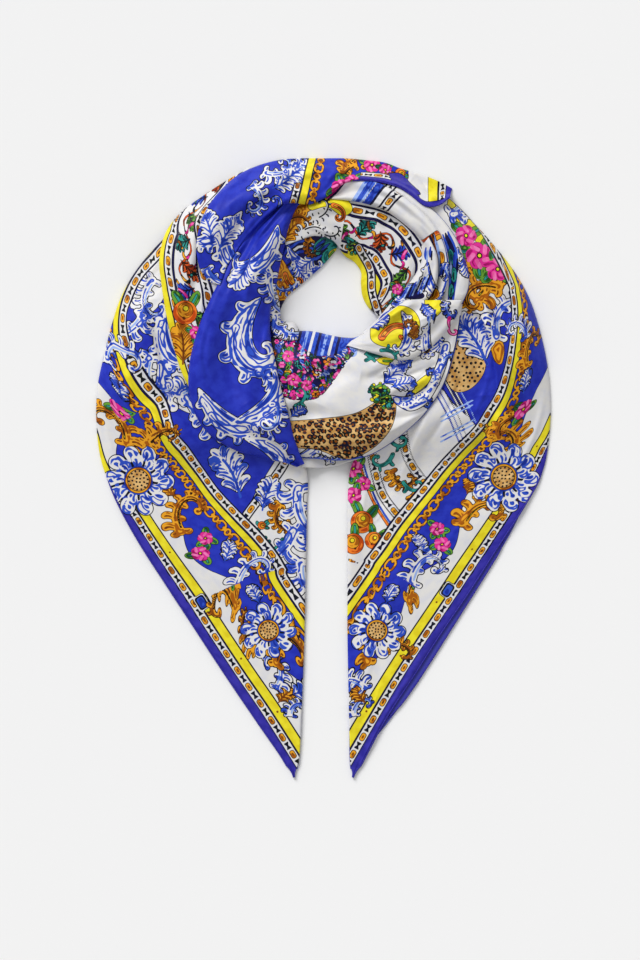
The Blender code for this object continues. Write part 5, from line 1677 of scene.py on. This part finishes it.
class HemSettings(bpy.types.PropertyGroup):
    """How the rolled hems are sewn."""

    stitch_spacing: bpy.props.FloatProperty(
        name="Stitch spacing", description="Distance between two prick stitches of the hem",
        default=0.006, min=0.003, subtype="DISTANCE", unit="LENGTH")
    stitch_length: bpy.props.FloatProperty(
        name="Stitch length", description="Length of each prick stitch",
        default=0.0018, min=0.0005, subtype="DISTANCE", unit="LENGTH")


class StageSettings(bpy.types.PropertyGroup):
    """Where the camera is and how strong the light is."""

    camera_height: bpy.props.FloatProperty(
        name="Camera height", description="Height of the camera over the table",
        default=4.8, min=1.0, subtype="DISTANCE", unit="LENGTH")
    sky_strength: bpy.props.FloatProperty(
        name="Fill light", description="Strength of the even light from all round",
        default=0.52, min=0.0)
    key_strength: bpy.props.FloatProperty(
        name="Key light", description="Strength of the soft light from the upper left",
        default=2.46, min=0.0)


def merged_faces(name):
    """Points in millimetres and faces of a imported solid, its doubled corners merged."""
    build = bmesh.new()
    build.from_mesh(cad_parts[name].data)
    bmesh.ops.remove_doubles(build, verts=build.verts, dist=1e-5)
    points = np.array([vertex.co for vertex in build.verts]) / METRE
    faces = [[vertex.index for vertex in face.verts] for face in build.faces]
    build.free()
    return points, faces


class SCARF_OT_core(bpy.types.Operator):
    """Cover the hidden turns inside the loop with printed silk"""

    bl_idname = "scarf.core"
    bl_label = "Inner turns"

    def execute(self, context):
        material = material_once("printed silk twill", printed_silk)
        points, faces = merged_faces("core")
        core = new_object("core_silk", points, faces, material)
        rounding = core.modifiers.new("rounding", "SUBSURF")
        rounding.levels = rounding.render_levels = 2
        seen = core.evaluated_get(context.evaluated_depsgraph_get())
        mesh = bpy.data.meshes.new_from_object(seen)
        core.modifiers.remove(rounding)
        core.data = mesh
        places = np.array([vertex.co for vertex in mesh.vertices]) / METRE
        cloth = Cloth(places[None, :, :2], places[None])
        PRINTS["core"](cloth)
        add_flat_map(mesh, cloth.flat)
        add_inks(mesh, cloth)
        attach(core, "root")
        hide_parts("core")
        support.add_node("core")
        return {"FINISHED"}


class SCARF_OT_tail_backs(bpy.types.Operator):
    """Finish the under layers of both tails with the silk's reverse"""

    bl_idname = "scarf.tail_backs"
    bl_label = "Under layers of the tails"

    def execute(self, context):
        reverse = plain_silk("silk twill reverse", "#4a4cae", "#3a3d9c")
        for name in ("tail_left_back", "tail_right_back"):
            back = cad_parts[name]
            back.data.materials.clear()
            back.data.materials.append(reverse)
            support.add_node(name)
        return {"FINISHED"}


class SCARF_OT_stretches(bpy.types.Operator):
    """Lay every stretch of the printed silk on its solid, from the lowest to the highest"""

    bl_idname = "scarf.stretches"
    bl_label = "Printed silk"

    def execute(self, context):
        for name in STRETCHES:
            add_stretch(name)
        return {"FINISHED"}


class SCARF_OT_hems(bpy.types.Operator):
    """Roll the hems that show, and sew them"""

    bl_idname = "scarf.hems"
    bl_label = "Hand-rolled hems"

    def execute(self, context):
        given = context.scene.scarf_hems
        settings = {"Spacing": given.stitch_spacing, "Length": given.stitch_length}
        silk = plain_silk("hand-rolled silk hem", "#3832a0", "#2c288c")
        thread = matte("silk thread", "#5a56b4", 0.6)
        for name, path in hem_routes():
            points, faces = tube(path, HEM_RADIUS, HEM_SIDES)
            hem = new_object(f"{name}_roll", points, faces, silk)
            add_flat_map(hem.data, points[:, :2])
            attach(hem, "root")
            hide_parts(name)
            raised = path + np.array([0, 0, HEM_RADIUS])
            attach(sewn_along(name, raised, settings, thread), "root")
        return {"FINISHED"}


class SCARF_OT_stage(bpy.types.Operator):
    """Set the table, the light and the camera straight above the scarf"""

    bl_idname = "scarf.stage"
    bl_label = "Stage"

    def execute(self, context):
        settings = context.scene.scarf_stage
        scene = context.scene
        corners = np.array([(x * TABLE_HALF, y * TABLE_HALF, -TABLE_DROP)
                            for x, y in ((-1, -1), (1, -1), (1, 1), (-1, 1))])
        table = new_object("table", corners, [(0, 1, 2, 3)], matte("white card", "#f4f4f4", 0.9))
        world = bpy.data.worlds.new("studio")
        world.use_nodes = True
        sky = world.node_tree.nodes["Background"]
        sky.inputs[0].default_value = linear("#ffffff")
        sky.inputs[1].default_value = settings.sky_strength
        scene.world = world
        softbox = bpy.data.lights.new("softbox", "SUN")
        softbox.energy, softbox.angle = settings.key_strength, math.radians(KEY_SPREAD)
        key = bpy.data.objects.new("softbox", softbox)
        key.rotation_euler = [math.radians(turn) for turn in KEY_TURN]
        lens = bpy.data.cameras.new("camera")
        lens.sensor_fit, lens.sensor_height, lens.lens = "VERTICAL", 24.0, 100.0
        camera = bpy.data.objects.new("camera", lens)
        camera.location = [place * METRE for place in VIEW_MIDDLE] + [settings.camera_height]
        for thing in (key, camera):
            scene.collection.objects.link(thing)
        scene.camera = camera
        scene.view_settings.view_transform = "Standard"
        return {"FINISHED"}


class SCARF_PT_panel(bpy.types.Panel):
    """The steps of the scarf, in order"""

    bl_idname = "SCARF_PT_panel"
    bl_label = "Silk square scarf"
    bl_space_type = "VIEW_3D"
    bl_region_type = "UI"
    bl_category = "Scarf"

    def draw(self, context):
        for step in STEPS:
            self.layout.operator(step.bl_idname)
        for settings in (context.scene.scarf_hems, context.scene.scarf_stage):
            for name in settings.__annotations__:
                self.layout.prop(settings, name)


STEPS = (SCARF_OT_core, SCARF_OT_tail_backs, SCARF_OT_stretches, SCARF_OT_hems, SCARF_OT_stage)
CLASSES = (HemSettings, StageSettings, *STEPS, SCARF_PT_panel)


def register():
    """Make the settings, the steps and the panel known to Blender."""
    for kind in CLASSES:
        bpy.utils.register_class(kind)
    bpy.types.Scene.scarf_hems = bpy.props.PointerProperty(type=HemSettings)
    bpy.types.Scene.scarf_stage = bpy.props.PointerProperty(type=StageSettings)


def unregister():
    """Take them away again."""
    del bpy.types.Scene.scarf_hems, bpy.types.Scene.scarf_stage
    for kind in reversed(CLASSES):
        bpy.utils.unregister_class(kind)


def main():
    """Build the scarf and its stage."""
    register()
    bpy.ops.scarf.core()
    bpy.ops.scarf.tail_backs()
    bpy.ops.scarf.stretches()
    bpy.ops.scarf.hems()
    bpy.ops.scarf.stage()


if __name__ == "__main__":
    main()
